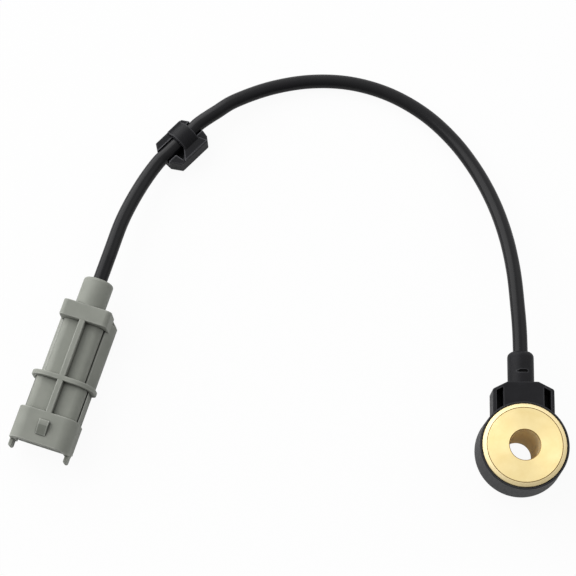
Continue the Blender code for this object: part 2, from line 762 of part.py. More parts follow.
def build_clip():
    """The clip: a saddle that the lead lies in, with a strap folded over half its length."""
    half_length = CLIP_LENGTH / 2
    near_x = CLIP_SIDE_SHIFT + CLIP_WIDTH / 2
    far_x = CLIP_SIDE_SHIFT - CLIP_WIDTH / 2
    corner_y = half_length - CLIP_CORNER_LENGTH
    near_corner_x = near_x - CLIP_CORNER_WIDTH
    far_corner_x = far_x + CLIP_CORNER_WIDTH
    near_end_y = corner_y + CLIP_NEAR_SIDE_LEAD
    block_outline = (
        (near_x, CLIP_NEAR_SIDE_LEAD - corner_y),
        (near_x, near_end_y),
        (
            (near_x + near_corner_x) / 2 + CLIP_CORNER_SWELL,
            (near_end_y + half_length) / 2 + CLIP_CORNER_SWELL,
        ),
        (near_corner_x, half_length),
        (far_corner_x, half_length),
        (far_x, corner_y),
        (far_x, -corner_y),
        (far_corner_x, -half_length),
        (0.0, CLIP_NEAR_SIDE_LEAD - half_length),
        (near_corner_x, CLIP_NEAR_SIDE_LEAD - half_length),
    )
    clip = prism("cable_clip", block_outline, 0.0, CLIP_BASE_HEIGHT, black_nylon, CLIP)
    groove_radius = CABLE_DIAMETER / 2 + CLIP_FIT
    strap_radius = groove_radius + CLIP_STRAP_WALL
    strap_end = CLIP_STRAP_START + CLIP_STRAP_WIDTH
    axis = CLIP @ Matrix.Translation((0.0, 0.0, CLIP_CABLE_HEIGHT)) @ TURN_TO_Y
    plate_bottom = CLIP_BASE_HEIGHT - CLIP_PLATE_THICKNESS
    plate_top = CLIP_BASE_HEIGHT + CLIP_PLATE_THICKNESS
    foot_height = (CLIP_BASE_HEIGHT + plate_top) / 2 - CLIP_CABLE_HEIGHT
    arc_start = (math.pi - CLIP_STRAP_ARC) / 2
    flank = (strap_radius * math.sin(arc_start) - foot_height) / math.cos(arc_start)
    foot_x = strap_radius * math.cos(arc_start) + flank * math.sin(arc_start)
    strap_outline_points = [(foot_x, CLIP_CABLE_HEIGHT + foot_height)]
    for step in range(SMALL_SEGMENTS + 1):
        angle = arc_start + CLIP_STRAP_ARC * step / SMALL_SEGMENTS
        strap_outline_points.append(
            (strap_radius * math.cos(angle), CLIP_CABLE_HEIGHT + strap_radius * math.sin(angle))
        )
    strap_outline_points.append((-foot_x, CLIP_CABLE_HEIGHT + foot_height))
    strap = prism(
        "strap", strap_outline_points, CLIP_STRAP_START, strap_end, black_nylon, CLIP, along="Y"
    )
    near_plate_x = near_x - CLIP_PLATE_INSET
    far_plate_x = far_x + CLIP_PLATE_INSET
    plate_start = CLIP_STRAP_START + CLIP_PLATE_INSET
    plate_end = strap_end - CLIP_PLATE_INSET
    flare_start = CLIP_STRAP_START - CLIP_PLATE_FLARE
    plate_outline = (
        (far_plate_x, plate_start),
        (groove_radius, plate_start),
        (near_plate_x, flare_start),
        (near_plate_x, near_end_y),
        (groove_radius, plate_end),
        (far_plate_x, plate_end),
    )
    plate = prism("strap_plate", plate_outline, plate_bottom, plate_top, black_nylon, CLIP)
    notch_start = CLIP_STRAP_START - CLIP_NOTCH_WIDTH
    notch_outline = (
        (0.0, CLIP_STRAP_START + CLIP_NOTCH_UNDERCUT),
        (0.0, notch_start),
        (groove_radius, notch_start),
        (near_plate_x - CLIP_NOTCH_UNDERCUT, flare_start),
        (groove_radius, CLIP_STRAP_START + CLIP_NOTCH_UNDERCUT),
    )
    notch_bottom = CLIP_BASE_HEIGHT - CLIP_NOTCH_DEPTH
    notch = prism("strap_notch", notch_outline, notch_bottom, plate_top + OVERRUN, black_nylon, CLIP)
    groove_end = half_length + OVERRUN
    mouth_x = groove_radius - CLIP_PLATE_INSET
    groove_mouth = box(
        "groove_mouth",
        (-mouth_x, -groove_end, CLIP_CABLE_HEIGHT),
        (mouth_x, groove_end, CLIP_BASE_HEIGHT + OVERRUN),
        black_nylon,
        CLIP,
    )
    cut(clip, notch, groove_mouth)
    join(clip, plate, strap)
    groove = rod("cable_groove", groove_radius, -groove_end, groove_end, black_nylon, axis)
    cut(clip, groove)


def build_housing():
    """The grey housing: shroud, ribbed barrel on a slide plate, collar and boot."""
    shroud_bottom = CONNECTOR_TOP - SHROUD_HEIGHT
    outline = rounded_rectangle(
        SHROUD_WIDTH, shroud_bottom, CONNECTOR_TOP, SHROUD_ROUNDING, SHROUD_FOOT_ROUNDING
    )
    housing = prism("connector_housing", outline, -SHROUD_LENGTH, 0.0, grey_nylon, CONNECTOR, along="Y")

    def section(name, width, low, high, rounding, start, end, low_rounding=None):
        shape = rounded_rectangle(width, low, high, rounding, low_rounding)
        return prism(name, shape, start, end, grey_nylon, CONNECTOR, along="Y")

    lower_top = CONNECTOR_TOP - LOWER_BARREL_DROP
    lower = section(
        "lower_barrel",
        LOWER_BARREL_WIDTH,
        lower_top - LOWER_BARREL_HEIGHT,
        lower_top,
        BARREL_ROUNDING,
        -SHROUD_WALL / 2,
        rib_start + RIB_THICKNESS / 2,
    )
    rib = section(
        "rib",
        RIB_WIDTH,
        FLUSH_STEP,
        CONNECTOR_TOP,
        RIB_ROUNDING,
        rib_start,
        rib_end,
        RIB_FOOT_ROUNDING,
    )
    upper_top = CONNECTOR_TOP - UPPER_BARREL_DROP
    upper = section(
        "upper_barrel",
        UPPER_BARREL_WIDTH,
        upper_top - UPPER_BARREL_HEIGHT,
        upper_top,
        BARREL_ROUNDING,
        rib_start + RIB_THICKNESS / 2,
        collar_start + COLLAR_LENGTH / 2,
    )
    collar = section(
        "collar",
        COLLAR_WIDTH,
        CONNECTOR_TOP - COLLAR_HEIGHT,
        CONNECTOR_TOP,
        COLLAR_ROUNDING,
        collar_start,
        collar_end,
    )
    spine = box(
        "spine",
        (-SPINE_WIDTH / 2, -SHROUD_WALL / 2, CONNECTOR_TOP - SPINE_HEIGHT),
        (SPINE_WIDTH / 2, collar_start + COLLAR_LENGTH / 2, CONNECTOR_TOP - FLUSH_STEP),
        grey_nylon,
        CONNECTOR,
    )
    plate_half = PLATE_WIDTH / 2
    plate_front = -SHROUD_WALL * 2 / 3
    front_half = PLATE_FRONT_WIDTH / 2
    widening = rib_end - RIB_THICKNESS / 3
    widened = rib_end - RIB_THICKNESS / 4
    plate_outline = (
        (-front_half, plate_front),
        (front_half, plate_front),
        (front_half, widening),
        (plate_half, widened),
        (plate_half, PLATE_BACK - PLATE_CORNER),
        (plate_half - PLATE_CORNER, PLATE_BACK),
        (-plate_half + PLATE_CORNER, PLATE_BACK),
        (-plate_half, PLATE_BACK - PLATE_CORNER),
        (-plate_half, widened),
        (-front_half, widening),
    )
    plate = prism("slide_plate", plate_outline, 0.0, PLATE_THICKNESS, grey_nylon, CONNECTOR)
    foot_half = plate_half - FLUSH_STEP
    foot = PLATE_THICKNESS - FLUSH_STEP
    crest = upper_top - FLANK_DROP
    flank_outline = (
        (-foot_half, foot),
        (foot_half, foot),
        (FLANK_TOP_WIDTH / 2, crest),
        (-FLANK_TOP_WIDTH / 2, crest),
    )
    flanks = prism(
        "flanks",
        flank_outline,
        rib_start + RIB_THICKNESS / 2,
        PLATE_BACK - PLATE_CORNER,
        grey_nylon,
        CONNECTOR,
        along="Y",
    )

    boot_radius = BOOT_DIAMETER / 2
    boot_profile = [(0.0, boot_end)]
    for step in range(ARC_STEPS + 1):
        angle = math.radians(90.0 - 90.0 * step / ARC_STEPS)
        boot_profile.append(
            (
                boot_radius - BOOT_ROUNDING + BOOT_ROUNDING * math.cos(angle),
                boot_end - BOOT_ROUNDING + BOOT_ROUNDING * math.sin(angle),
            )
        )
    boot_root = collar_end - COLLAR_LENGTH / 2
    boot_profile += [(boot_radius, boot_root), (0.0, boot_root)]
    boot_axis = CONNECTOR @ Matrix.Translation((0.0, 0.0, boot_height)) @ TURN_TO_Y
    boot = turned("boot", boot_profile, grey_nylon, boot_axis, STACK_SEGMENTS, on_axis=True)

    ear_tip = -SHROUD_LENGTH - EAR_LENGTH
    ear_round = EAR_THICKNESS / 2
    ear_root = SHROUD_WALL - SHROUD_LENGTH
    ears = []
    for side, name in ((-1, "left_ear"), (1, "right_ear")):
        middle = side * (SHROUD_WIDTH / 2 - FLUSH_STEP - ear_round)
        outline = [(middle + ear_round, ear_root), (middle - ear_round, ear_root)]
        for step in range(ARC_STEPS + 1):
            angle = math.radians(180.0 + 180.0 * step / ARC_STEPS)
            outline.append(
                (middle + ear_round * math.cos(angle), ear_tip + ear_round + ear_round * math.sin(angle))
            )
        low = terminal_height - EAR_DROP - EAR_HEIGHT / 2
        ears.append(prism(name, outline, low, low + EAR_HEIGHT, grey_nylon, CONNECTOR))

    nub_end = -NUB_START - NUB_LENGTH
    nub_root = CONNECTOR_TOP - SHROUD_WALL / 2
    nub_outline = (
        (nub_end, nub_root),
        (-NUB_START, nub_root),
        (-NUB_START, CONNECTOR_TOP + NUB_HEIGHT),
        (-NUB_START - NUB_LENGTH / 4, CONNECTOR_TOP + NUB_HEIGHT),
        (nub_end, CONNECTOR_TOP + NUB_TOE_HEIGHT),
    )
    nub = prism(
        "lock_nub", nub_outline, -NUB_WIDTH / 2, NUB_WIDTH / 2, grey_nylon, CONNECTOR, along="X"
    )
    join(housing, lower, rib, upper, collar, spine, plate, flanks, boot, *ears, nub)

    mouth = section(
        "mouth",
        SHROUD_WIDTH - 2 * SHROUD_WALL,
        shroud_bottom + SHROUD_WALL,
        CONNECTOR_TOP - SHROUD_WALL,
        SHROUD_ROUNDING - SHROUD_WALL,
        -SHROUD_LENGTH - OVERRUN,
        mouth_floor,
        SHROUD_FOOT_ROUNDING - SHROUD_WALL,
    )
    cutback_half = SHROUD_WIDTH / 2 + OVERRUN
    cutback = box(
        "floor_cutback",
        (-cutback_half, -SHROUD_LENGTH - OVERRUN, -OVERRUN),
        (cutback_half, FLOOR_CUTBACK - SHROUD_LENGTH, shroud_bottom + FLOOR_CUTBACK_HEIGHT),
        grey_nylon,
        CONNECTOR,
    )
    wire_room = section(
        "wire_room",
        WIRE_ROOM_WIDTH,
        terminal_height - WIRE_ROOM_BELOW_TERMINALS,
        boot_height + WIRE_ROOM_ABOVE_BOOT_AXIS,
        COLLAR_ROUNDING,
        mouth_floor + DEAD_WALL,
        WIRE_ROOM_END,
    )
    cut(housing, mouth, cutback, wire_room)
    slot_x = BLADE_WIDTH / 2 + SEAT_GAP
    slot_z = BLADE_THICKNESS / 2 + SEAT_GAP
    for x, name in terminal_places:
        slot = box(
            name + "_slot",
            (x - slot_x, mouth_floor - OVERRUN, terminal_height - slot_z),
            (x + slot_x, mouth_floor + DEAD_WALL + OVERRUN, terminal_height + slot_z),
            grey_nylon,
            CONNECTOR,
        )
        cut(housing, slot)
    passage = rod(
        "plug_core_passage",
        CORE_PASSAGE_DIAMETER / 2,
        WIRE_ROOM_END - OVERRUN,
        boot_end + OVERRUN,
        grey_nylon,
        boot_axis,
        SMALL_SEGMENTS,
    )
    cut(housing, passage)


def build_terminals():
    """Three blades with crimp barrels, and the core ends crimped in them."""
    barrel_start = mouth_floor + DEAD_WALL + SEAT_GAP
    barrel_end = barrel_start + BARREL_LENGTH
    outer = BARREL_DIAMETER / 2
    inner = outer - BARREL_WALL
    tip = BLADE_TIP_DEPTH - SHROUD_LENGTH
    blade_half = BLADE_WIDTH / 2
    core_radius = PLUG_CORE_DIAMETER / 2
    bare = CONDUCTOR_DIAMETER / PLUG_CORE_DIAMETER
    finishes = {"signal": white_core, "ground": black_core, "shield": bare_braid}
    core_names = {
        "signal": "signal_core_plug_end",
        "ground": "ground_core_plug_end",
        "shield": "shield_drain_plug_end",
    }
    for (x, name), angle in zip(terminal_places, (150.0, 270.0, 30.0)):
        blade_outline = (
            (x - blade_half, barrel_start + BARREL_HEAD / 2),
            (x + blade_half, barrel_start + BARREL_HEAD / 2),
            (x + blade_half, tip + BLADE_TIP_TAPER),
            (x + blade_half - BLADE_TIP_TAPER / 2, tip),
            (x - blade_half + BLADE_TIP_TAPER / 2, tip),
            (x - blade_half, tip + BLADE_TIP_TAPER),
        )
        blade = prism(
            name + "_terminal",
            blade_outline,
            terminal_height - BLADE_THICKNESS / 2,
            terminal_height + BLADE_THICKNESS / 2,
            tinned_bronze,
            CONNECTOR,
        )
        barrel_profile = (
            (0.0, barrel_start + BARREL_HEAD),
            (inner, barrel_start + BARREL_HEAD),
            (inner, barrel_end),
            (outer, barrel_end),
            (outer, barrel_start),
            (0.0, barrel_start),
        )
        barrel_axis = CONNECTOR @ Matrix.Translation((x, 0.0, terminal_height)) @ TURN_TO_Y
        barrel = turned(
            name + "_barrel", barrel_profile, tinned_bronze, barrel_axis, SMALL_SEGMENTS, on_axis=True
        )
        join(blade, barrel)

        bunch_x = PLUG_CORE_RING * math.cos(math.radians(angle))
        bunch_z = boot_height + PLUG_CORE_RING * math.sin(math.radians(angle))
        strip_at = barrel_end + SEAT_GAP
        fan_end = WIRE_ROOM_END - PLUG_CORE_FAN
        points = [(bunch_x, boot_end - SEAT_GAP, bunch_z), (bunch_x, WIRE_ROOM_END, bunch_z)]
        for step in range(1, ARC_STEPS + 1):
            share = step / ARC_STEPS
            ease = share * share * (3.0 - 2.0 * share)
            points.append(
                (
                    bunch_x + (x - bunch_x) * ease,
                    WIRE_ROOM_END + (fan_end - WIRE_ROOM_END) * share,
                    bunch_z + (terminal_height - bunch_z) * ease,
                )
            )
        widths = [1.0] * len(points) + [1.0, bare, bare]
        points += [
            (x, strip_at, terminal_height),
            (x, strip_at - MERGE_DISTANCE * 4, terminal_height),
            (x, barrel_start + BARREL_HEAD + SEAT_GAP, terminal_height),
        ]
        tube(core_names[name], points, core_radius, finishes[name], CONNECTOR, widths)


def finish_surfaces():
    """Gives every solid its final surface, smooth where it is round and sharp at its edges."""
    depsgraph = bpy.context.evaluated_depsgraph_get()
    solids = [obj for obj in parts.objects if obj.type == "MESH"]
    surfaces = [bpy.data.meshes.new_from_object(obj.evaluated_get(depsgraph)) for obj in solids]
    for obj, surface in zip(solids, surfaces):
        obj.modifiers.clear()
        obj.data = surface
        surface.name = obj.name
        surface.shade_smooth()
        surface.set_sharp_from_angle(angle=SMOOTH_ANGLE)


# Reaches of the joints in the neck, from the bore's axis
resistor_reach = (
    stack_room_radius + SEAT_GAP + TAB_BEND_REACH + SEAT_GAP + RESISTOR_DIAMETER / 2
)
crimp_start = resistor_reach + RESISTOR_DIAMETER / 2 + CRIMP_GAP_TO_RESISTOR
joint_room_top = signal_ring_bottom + CONTACT_THICKNESS + SEAT_GAP

# Places along the connector
mouth_floor = MOUTH_DEPTH - SHROUD_LENGTH
rib_start = LOWER_BARREL_LENGTH
rib_end = rib_start + RIB_THICKNESS
collar_start = rib_end + UPPER_BARREL_LENGTH
collar_end = collar_start + COLLAR_LENGTH
boot_end = collar_end + BOOT_LENGTH
boot_height = CONNECTOR_TOP - BOOT_AXIS_DROP
terminal_height = CONNECTOR_TOP - SHROUD_HEIGHT / 2
terminal_places = ((-TERMINAL_PITCH, "signal"), (0.0, "ground"), (TERMINAL_PITCH, "shield"))

build_sleeve()
build_stack()
build_joints()
build_overmould()
build_cable()
build_clip()
build_housing()
build_terminals()
finish_surfaces()
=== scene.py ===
"""Looks of an engine knock sensor: ring head, lead with its clip, and plug-in connector.

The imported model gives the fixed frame. Each class below makes or dresses one sub-assembly in that
frame: metres, +Z up out of the brass mounting face, +Y along the head's neck.
"""

import json
import logging
import math
from collections.abc import Sequence
from dataclasses import dataclass, replace
from enum import Enum
from typing import Any

import bmesh
import bpy
from mathutils import Matrix, Vector

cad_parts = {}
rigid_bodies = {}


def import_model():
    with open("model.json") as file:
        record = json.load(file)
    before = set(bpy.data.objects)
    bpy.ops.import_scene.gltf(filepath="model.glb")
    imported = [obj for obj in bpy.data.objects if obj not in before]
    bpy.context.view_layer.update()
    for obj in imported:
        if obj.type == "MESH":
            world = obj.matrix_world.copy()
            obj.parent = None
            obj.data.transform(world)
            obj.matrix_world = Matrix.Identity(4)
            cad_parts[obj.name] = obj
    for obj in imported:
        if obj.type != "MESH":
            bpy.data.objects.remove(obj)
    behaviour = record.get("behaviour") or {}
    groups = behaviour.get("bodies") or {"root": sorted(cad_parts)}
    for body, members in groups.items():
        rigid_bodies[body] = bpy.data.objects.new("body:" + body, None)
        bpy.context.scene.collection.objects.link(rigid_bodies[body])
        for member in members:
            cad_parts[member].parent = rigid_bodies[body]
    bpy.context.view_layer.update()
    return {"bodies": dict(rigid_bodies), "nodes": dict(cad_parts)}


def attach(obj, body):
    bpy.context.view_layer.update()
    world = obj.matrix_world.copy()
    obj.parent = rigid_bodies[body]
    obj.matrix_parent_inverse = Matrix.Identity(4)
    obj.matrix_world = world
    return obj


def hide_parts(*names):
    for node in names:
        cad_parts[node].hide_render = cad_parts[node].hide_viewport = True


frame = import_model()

LOG = logging.getLogger("knock_sensor")
Point2 = tuple[float, float]
Point3 = tuple[float, float, float]
Piece = bpy.types.Object
Tree = bpy.types.NodeTree
Socket = bpy.types.NodeSocket

BODY = "root"
BORE_Y = -0.0074
OVERRUN = 0.0010
MERGE = 0.000004
HEAD = Matrix.Translation((0.0, BORE_Y, 0.0))
TURN_TO_Y = Matrix.Rotation(math.radians(-90.0), 4, "X")
SHARP_ANGLE = math.radians(38.0)
ROUNDED_ANGLE = math.radians(40.0)
# Facets round the turned pieces, in whole arcs and in the arcs of edges.
FLANGE_FACETS = 192
WALL_FACETS = 144
CRIMP_FACETS = 32
PASSAGE_FACETS = 24
STRAP_STEPS = 32
CORNER_STEPS = 10
EDGE_STEPS = 4
# How far edge wear and painted highlight look round an edge for open air, and painted shade round a
# corner for its walls.
EDGE_REACH = 0.00045
CORNER_SHADE_REACH = 0.0009


class Along(Enum):
    """The axis that a flat outline is drawn out along."""

    X = ((0, 0, 1, 0), (1, 0, 0, 0), (0, 1, 0, 0), (0, 0, 0, 1))
    Y = ((1, 0, 0, 0), (0, 0, 1, 0), (0, 1, 0, 0), (0, 0, 0, 1))
    Z = ((1, 0, 0, 0), (0, 1, 0, 0), (0, 0, 1, 0), (0, 0, 0, 1))


class Join(Enum):
    """What a tool does to the solid that it meets."""

    FUSE = "UNION"
    CARVE = "DIFFERENCE"


def srgb(code: str) -> tuple[float, float, float, float]:
    """Turns an sRGB hex code into linear colour.

    Args:
        code: six hex digits after a #.

    Returns:
        Linear red, green, blue and an alpha of 1.
    """
    linear = []
    for start in (1, 3, 5):
        value = int(code[start : start + 2], 16) / 255
        linear.append(value / 12.92 if value <= 0.04045 else ((value + 0.055) / 1.055) ** 2.4)
    return (*linear, 1.0)


def per_mm(size: float) -> float:
    """The texture scale at which one feature is so many millimetres wide, on metre coordinates."""
    return 1000.0 / size


def add_node(
    tree: Tree, kind: str, settings: dict[str, Any] | None = None,
    inputs: dict[str | int, Any] | None = None,
) -> bpy.types.Node:
    """Adds one node with its settings, values and links.

    Args:
        tree: the tree that gets the node.
        kind: the node's type name.
        settings: properties to set on the node.
        inputs: input names or numbers, each with a value, or with a socket or a node to link. A
            node stands for its first output.

    Returns:
        The new node.
    """
    node = tree.nodes.new(kind)
    for name, value in (settings or {}).items():
        setattr(node, name, value)
    for name, value in (inputs or {}).items():
        if isinstance(value, bpy.types.Node):
            value = value.outputs[0]
        if isinstance(value, Socket):
            tree.links.new(value, node.inputs[name])
        else:
            node.inputs[name].default_value = value
    return node


@dataclass(frozen=True)
class Finish:
    """A surface with a mottled colour, a grain and an uneven gloss.

    Attributes:
        name: the real material and how it was made.
        deep: sRGB colour of its darker places.
        pale: sRGB colour of its lighter places.
        mottle_mm: width of the colour's patches.
        grain_mm: width of the surface's grain.
        grain_depth_mm: height of that grain.
        rough_low: roughness of its glossier places.
        rough_high: roughness of its duller places.
        metallic: 1 for bare metal.
        specular: the shader's specular level.
        edge_light: how far outer edges go towards wear_highlight_colour, partly wear, partly
            painted highlight.
        painted_corner_shade: how far inner corners are painted darker, which is painted shade.
        wear_highlight_colour: sRGB colour of the lighter edges, partly wear, partly painted
            highlight.
        grazing: sRGB tint of a metal where it is seen along its surface.
    """

    name: str
    deep: str
    pale: str
    mottle_mm: float
    grain_mm: float
    grain_depth_mm: float
    rough_low: float
    rough_high: float
    metallic: float = 0.0
    specular: float = 0.5
    edge_light: float = 0.0
    painted_corner_shade: float = 0.0
    wear_highlight_colour: str = "#4E4E51"
    grazing: str = "#FFFFFF"

    def pattern(self, tree: Tree, place: Socket) -> Socket:
        """The grain's height over the surface.

        Args:
            tree: the material's tree.
            place: the surface's coordinates in metres.

        Returns:
            A value from 0 to 1.
        """
        grain = add_node(tree, "ShaderNodeTexNoise", inputs={
            "Vector": place, "Scale": per_mm(self.grain_mm), "Detail": 3.0, "Roughness": 0.6})
        return grain.outputs["Fac"]

    def wear_highlight_and_shade(self, tree: Tree, colour: Socket) -> Socket:
        """Lightens the outer edges, partly as wear and partly as painted highlight, and darkens the
        inner corners as painted shade.

        Args:
            tree: the material's tree.
            colour: the colour before its edges and corners are changed.

        Returns:
            The colour with the edge wear, painted highlight and painted shade.
        """
        for settings, reach, walled, open_air, most, towards in (
            # Outer edges: lighter, partly wear, partly painted highlight.
            ({"inside": True, "samples": 8}, EDGE_REACH, 0.55, 0.95, self.edge_light, self.wear_highlight_colour),
            # Inner corners: darker towards black, which is painted shade.
            ({"samples": 8}, CORNER_SHADE_REACH, 0.45, 0.85, self.painted_corner_shade, "#000000"),
        ):
            near = add_node(tree, "ShaderNodeAmbientOcclusion", settings, {"Distance": reach})
            share = add_node(tree, "ShaderNodeMapRange", inputs={
                "Value": near.outputs["AO"], "From Min": walled, "From Max": open_air,
                "To Min": most, "To Max": 0.0})
            mixed = add_node(tree, "ShaderNodeMix", {"data_type": "RGBA"}, {
                0: share, 6: colour, 7: srgb(towards)})
            colour = mixed.outputs[2]
        return colour

    def material(self) -> bpy.types.Material:
        """The finish as a node material, made once.

        Returns:
            The material.
        """
        known = bpy.data.materials.get(self.name)
        if known is not None:
            return known
        made = bpy.data.materials.new(self.name)
        made.use_nodes = True
        tree = made.node_tree
        shader = tree.nodes["Principled BSDF"]
        place = add_node(tree, "ShaderNodeTexCoord").outputs["Object"]
        patches = add_node(tree, "ShaderNodeTexNoise", inputs={
            "Vector": place, "Scale": per_mm(self.mottle_mm), "Detail": 4.0})
        colour = add_node(tree, "ShaderNodeMix", {"data_type": "RGBA"}, {
            0: patches.outputs["Fac"], 6: srgb(self.deep), 7: srgb(self.pale)})
        height = self.pattern(tree, place)
        gloss = add_node(tree, "ShaderNodeMapRange", inputs={
            "Value": height, "To Min": self.rough_low, "To Max": self.rough_high})
        bump = add_node(tree, "ShaderNodeBump", inputs={
            "Height": height, "Strength": 1.0, "Distance": self.grain_depth_mm / 1000})
        shown = colour.outputs[2]
        # Edge wear with painted highlight, and painted shade in the inner corners.
        if self.edge_light or self.painted_corner_shade:
            shown = self.wear_highlight_and_shade(tree, shown)
        tree.links.new(shown, shader.inputs["Base Color"])
        tree.links.new(gloss.outputs["Result"], shader.inputs["Roughness"])
        tree.links.new(bump.outputs["Normal"], shader.inputs["Normal"])
        shader.inputs["Metallic"].default_value = self.metallic
        if self.metallic:
            shader.inputs["Specular Tint"].default_value = srgb(self.grazing)
        else:
            shader.inputs["Specular IOR Level"].default_value = self.specular
        return made


@dataclass(frozen=True)
class TurnedFinish(Finish):
    """A surface cut on a lathe: its grain is fine rings round the bore, at the tool's feed.

    Attributes:
        stretch: how far the rings pull a highlight out into rays from the bore.
    """

    stretch: float = 0.6

    def from_axis(self, tree: Tree, place: Socket) -> Socket:
        """The vector from the bore's axis to the surface, square to the axis.

        Args:
            tree: the material's tree.
            place: the surface's coordinates in metres.

        Returns:
            The vector's socket.
        """
        parts = add_node(tree, "ShaderNodeSeparateXYZ", inputs={"Vector": place})
        beside = add_node(tree, "ShaderNodeMath", {"operation": "SUBTRACT"}, {
            0: parts.outputs["Y"], 1: BORE_Y})
        across = add_node(tree, "ShaderNodeCombineXYZ", inputs={
            "X": parts.outputs["X"], "Y": beside})
        return across.outputs["Vector"]

    def pattern(self, tree: Tree, place: Socket) -> Socket:
        """The height of the tool marks, the same all the way round.

        Args:
            tree: the material's tree.
            place: the surface's coordinates in metres.

        Returns:
            A value from 0 to 1.
        """
        height = add_node(tree, "ShaderNodeSeparateXYZ", inputs={"Vector": place}).outputs["Z"]
        radius = add_node(
            tree, "ShaderNodeVectorMath", {"operation": "LENGTH"}, {0: self.from_axis(tree, place)})
        travel = add_node(tree, "ShaderNodeMath", {"operation": "ADD"}, {
            0: radius.outputs["Value"], 1: height})
        marks = add_node(tree, "ShaderNodeTexNoise", {"noise_dimensions": "1D"}, {
            "W": travel.outputs["Value"], "Scale": per_mm(self.grain_mm), "Detail": 2.0})
        return marks.outputs["Fac"]

    def material(self) -> bpy.types.Material:
        """The finish as a node material, with its highlights stretched across the rings.

        Returns:
            The material.
        """
        known = bpy.data.materials.get(self.name)
        if known is not None:
            return known
        made = super().material()
        tree = made.node_tree
        shader = tree.nodes["Principled BSDF"]
        place = add_node(tree, "ShaderNodeTexCoord").outputs["Object"]
        ray = add_node(
            tree, "ShaderNodeVectorMath", {"operation": "NORMALIZE"},
            {0: self.from_axis(tree, place)})
        tree.links.new(ray.outputs["Vector"], shader.inputs["Tangent"])
        shader.inputs["Anisotropic"].default_value = self.stretch
        return made


# Free-cutting brass, turned and left bright: pale gold. The feed of about 0.1 mm is drawn at
# 0.4 mm, because finer rings don't show.
BRASS = TurnedFinish(
    "turned_brass", "#E3CA8A", "#F9E8B3", 4.0, 0.40, 0.006, 0.34, 0.46, metallic=1.0,
    grazing="#D9B36A")
# The rim band of the same piece, cut with a form tool: duller than the face, and painted paler, a
# painted sheen.
RIM_BRASS_PAINTED_SHEEN = replace(
    BRASS, name="form_cut_brass_rim", deep="#E4D3A2", pale="#F4E6BE", rough_low=0.58,
    rough_high=0.70, stretch=0.1)
# The drilled bore of the same brass, dull from cutting oil and air; its pale cream is painted
# light, for the light that comes up the bore from the floor.
BORE_BRASS_PAINTED_LIGHT = TurnedFinish(
    "drilled_brass_bore", "#E0CB9E", "#F5E4BA", 2.5, 0.50, 0.006, 0.42, 0.58, metallic=0.4,
    grazing="#E6CE9E", stretch=0.2)
# The fine groove and the bore's chamfer of the same piece: dark brown, painted shade.
SHADED_GROOVE_BRASS = replace(BORE_BRASS_PAINTED_LIGHT, name="stained_brass_groove", deep="#7C5C30", pale="#987642")
# Glass-filled nylon from a spark-eroded mould: near black, with a dull even grain. The real grain
# of 0.1 mm is drawn at 0.3 mm.
# Its outer edges are lighter, partly wear, partly painted highlight, and its inner corners are
# painted shade.
BLACK_NYLON = Finish(
    "moulded_black_nylon", "#151517", "#232326", 3.0, 0.30, 0.010, 0.38, 0.52, specular=0.12,
    edge_light=0.55, painted_corner_shade=0.6)
# The same nylon on the clip: its edges lighter, partly wear against the engine's brackets and
# partly painted highlight.
CLIP_NYLON = replace(
    BLACK_NYLON, name="rubbed_black_nylon", deep="#121214", pale="#1E1E21", specular=0.13,
    edge_light=0.75, wear_highlight_colour="#6E6E72")
# Extruded jacket: softer sheen than the moulding, faintly violet where the light falls on it.
JACKET = Finish(
    "extruded_black_jacket", "#09090B", "#131316", 2.0, 0.35, 0.005, 0.22, 0.32, specular=0.20)
# Grey nylon moulding, matt, with slow clouds where the melt flowed.
# Its outer edges are lighter, partly wear, partly painted highlight, and its inner corners are
# painted shade.
GREY_PLASTIC = Finish(
    "moulded_grey_nylon", "#868981", "#979991", 4.0, 0.35, 0.010, 0.46, 0.60, specular=0.25,
    edge_light=0.60, painted_corner_shade=0.75, wear_highlight_colour="#CDCFC8")
# The nub's ramp of the same moulding: smoother where the mating plug burnishes it, and painted
# darker, a painted shade because it faces away from the light.
SHADED_RAMP_PLASTIC = replace(
    GREY_PLASTIC, name="burnished_grey_ramp", deep="#6F726A", pale="#7D8078", rough_low=0.34,
    rough_high=0.44)
# Tin plate on bronze strip: pale, slightly warm, soft gloss.
TINNED = Finish(
    "tin_plated_bronze", "#B9B3A4", "#D3CDBE", 1.5, 0.25, 0.003, 0.24, 0.38, metallic=1.0)
# Turned and ground steel, oiled: grey, fine grain.
STEEL = TurnedFinish(
    "machined_steel", "#9B9B99", "#B8B8B6", 5.0, 0.30, 0.004, 0.28, 0.42, metallic=1.0)
# Fired lead ceramic, matt buff, with pores.
CERAMIC = Finish(
    "fired_piezo_ceramic", "#A79F88", "#BEB69F", 0.8, 0.20, 0.010, 0.60, 0.75, specular=0.4)
# Stamped polyester film: amber, smooth.
FILM = Finish("stamped_insulating_film", "#B89C58", "#CDB272", 3.0, 0.60, 0.002, 0.28, 0.36)
# Dipped lacquer over a film resistor: brown, glossy.
LACQUER = Finish("dipped_resistor_lacquer", "#6B4C2A", "#7E5D37", 0.7, 0.30, 0.004, 0.30, 0.40)
# Extruded core insulation, white and black: smooth, satin.
WHITE_CORE = Finish("extruded_white_core", "#D8D6CC", "#E8E6DE", 2.0, 0.40, 0.003, 0.40, 0.50)
BLACK_CORE = Finish(
    "extruded_black_core", "#1B1B1C", "#262627", 2.0, 0.40, 0.003, 0.40, 0.50, specular=0.35)
# Tinned copper strands: bright grey.
STRANDS = Finish(
    "tinned_copper_strand", "#B5B2AC", "#CCC9C3", 0.8, 0.15, 0.002, 0.26, 0.38, metallic=1.0)


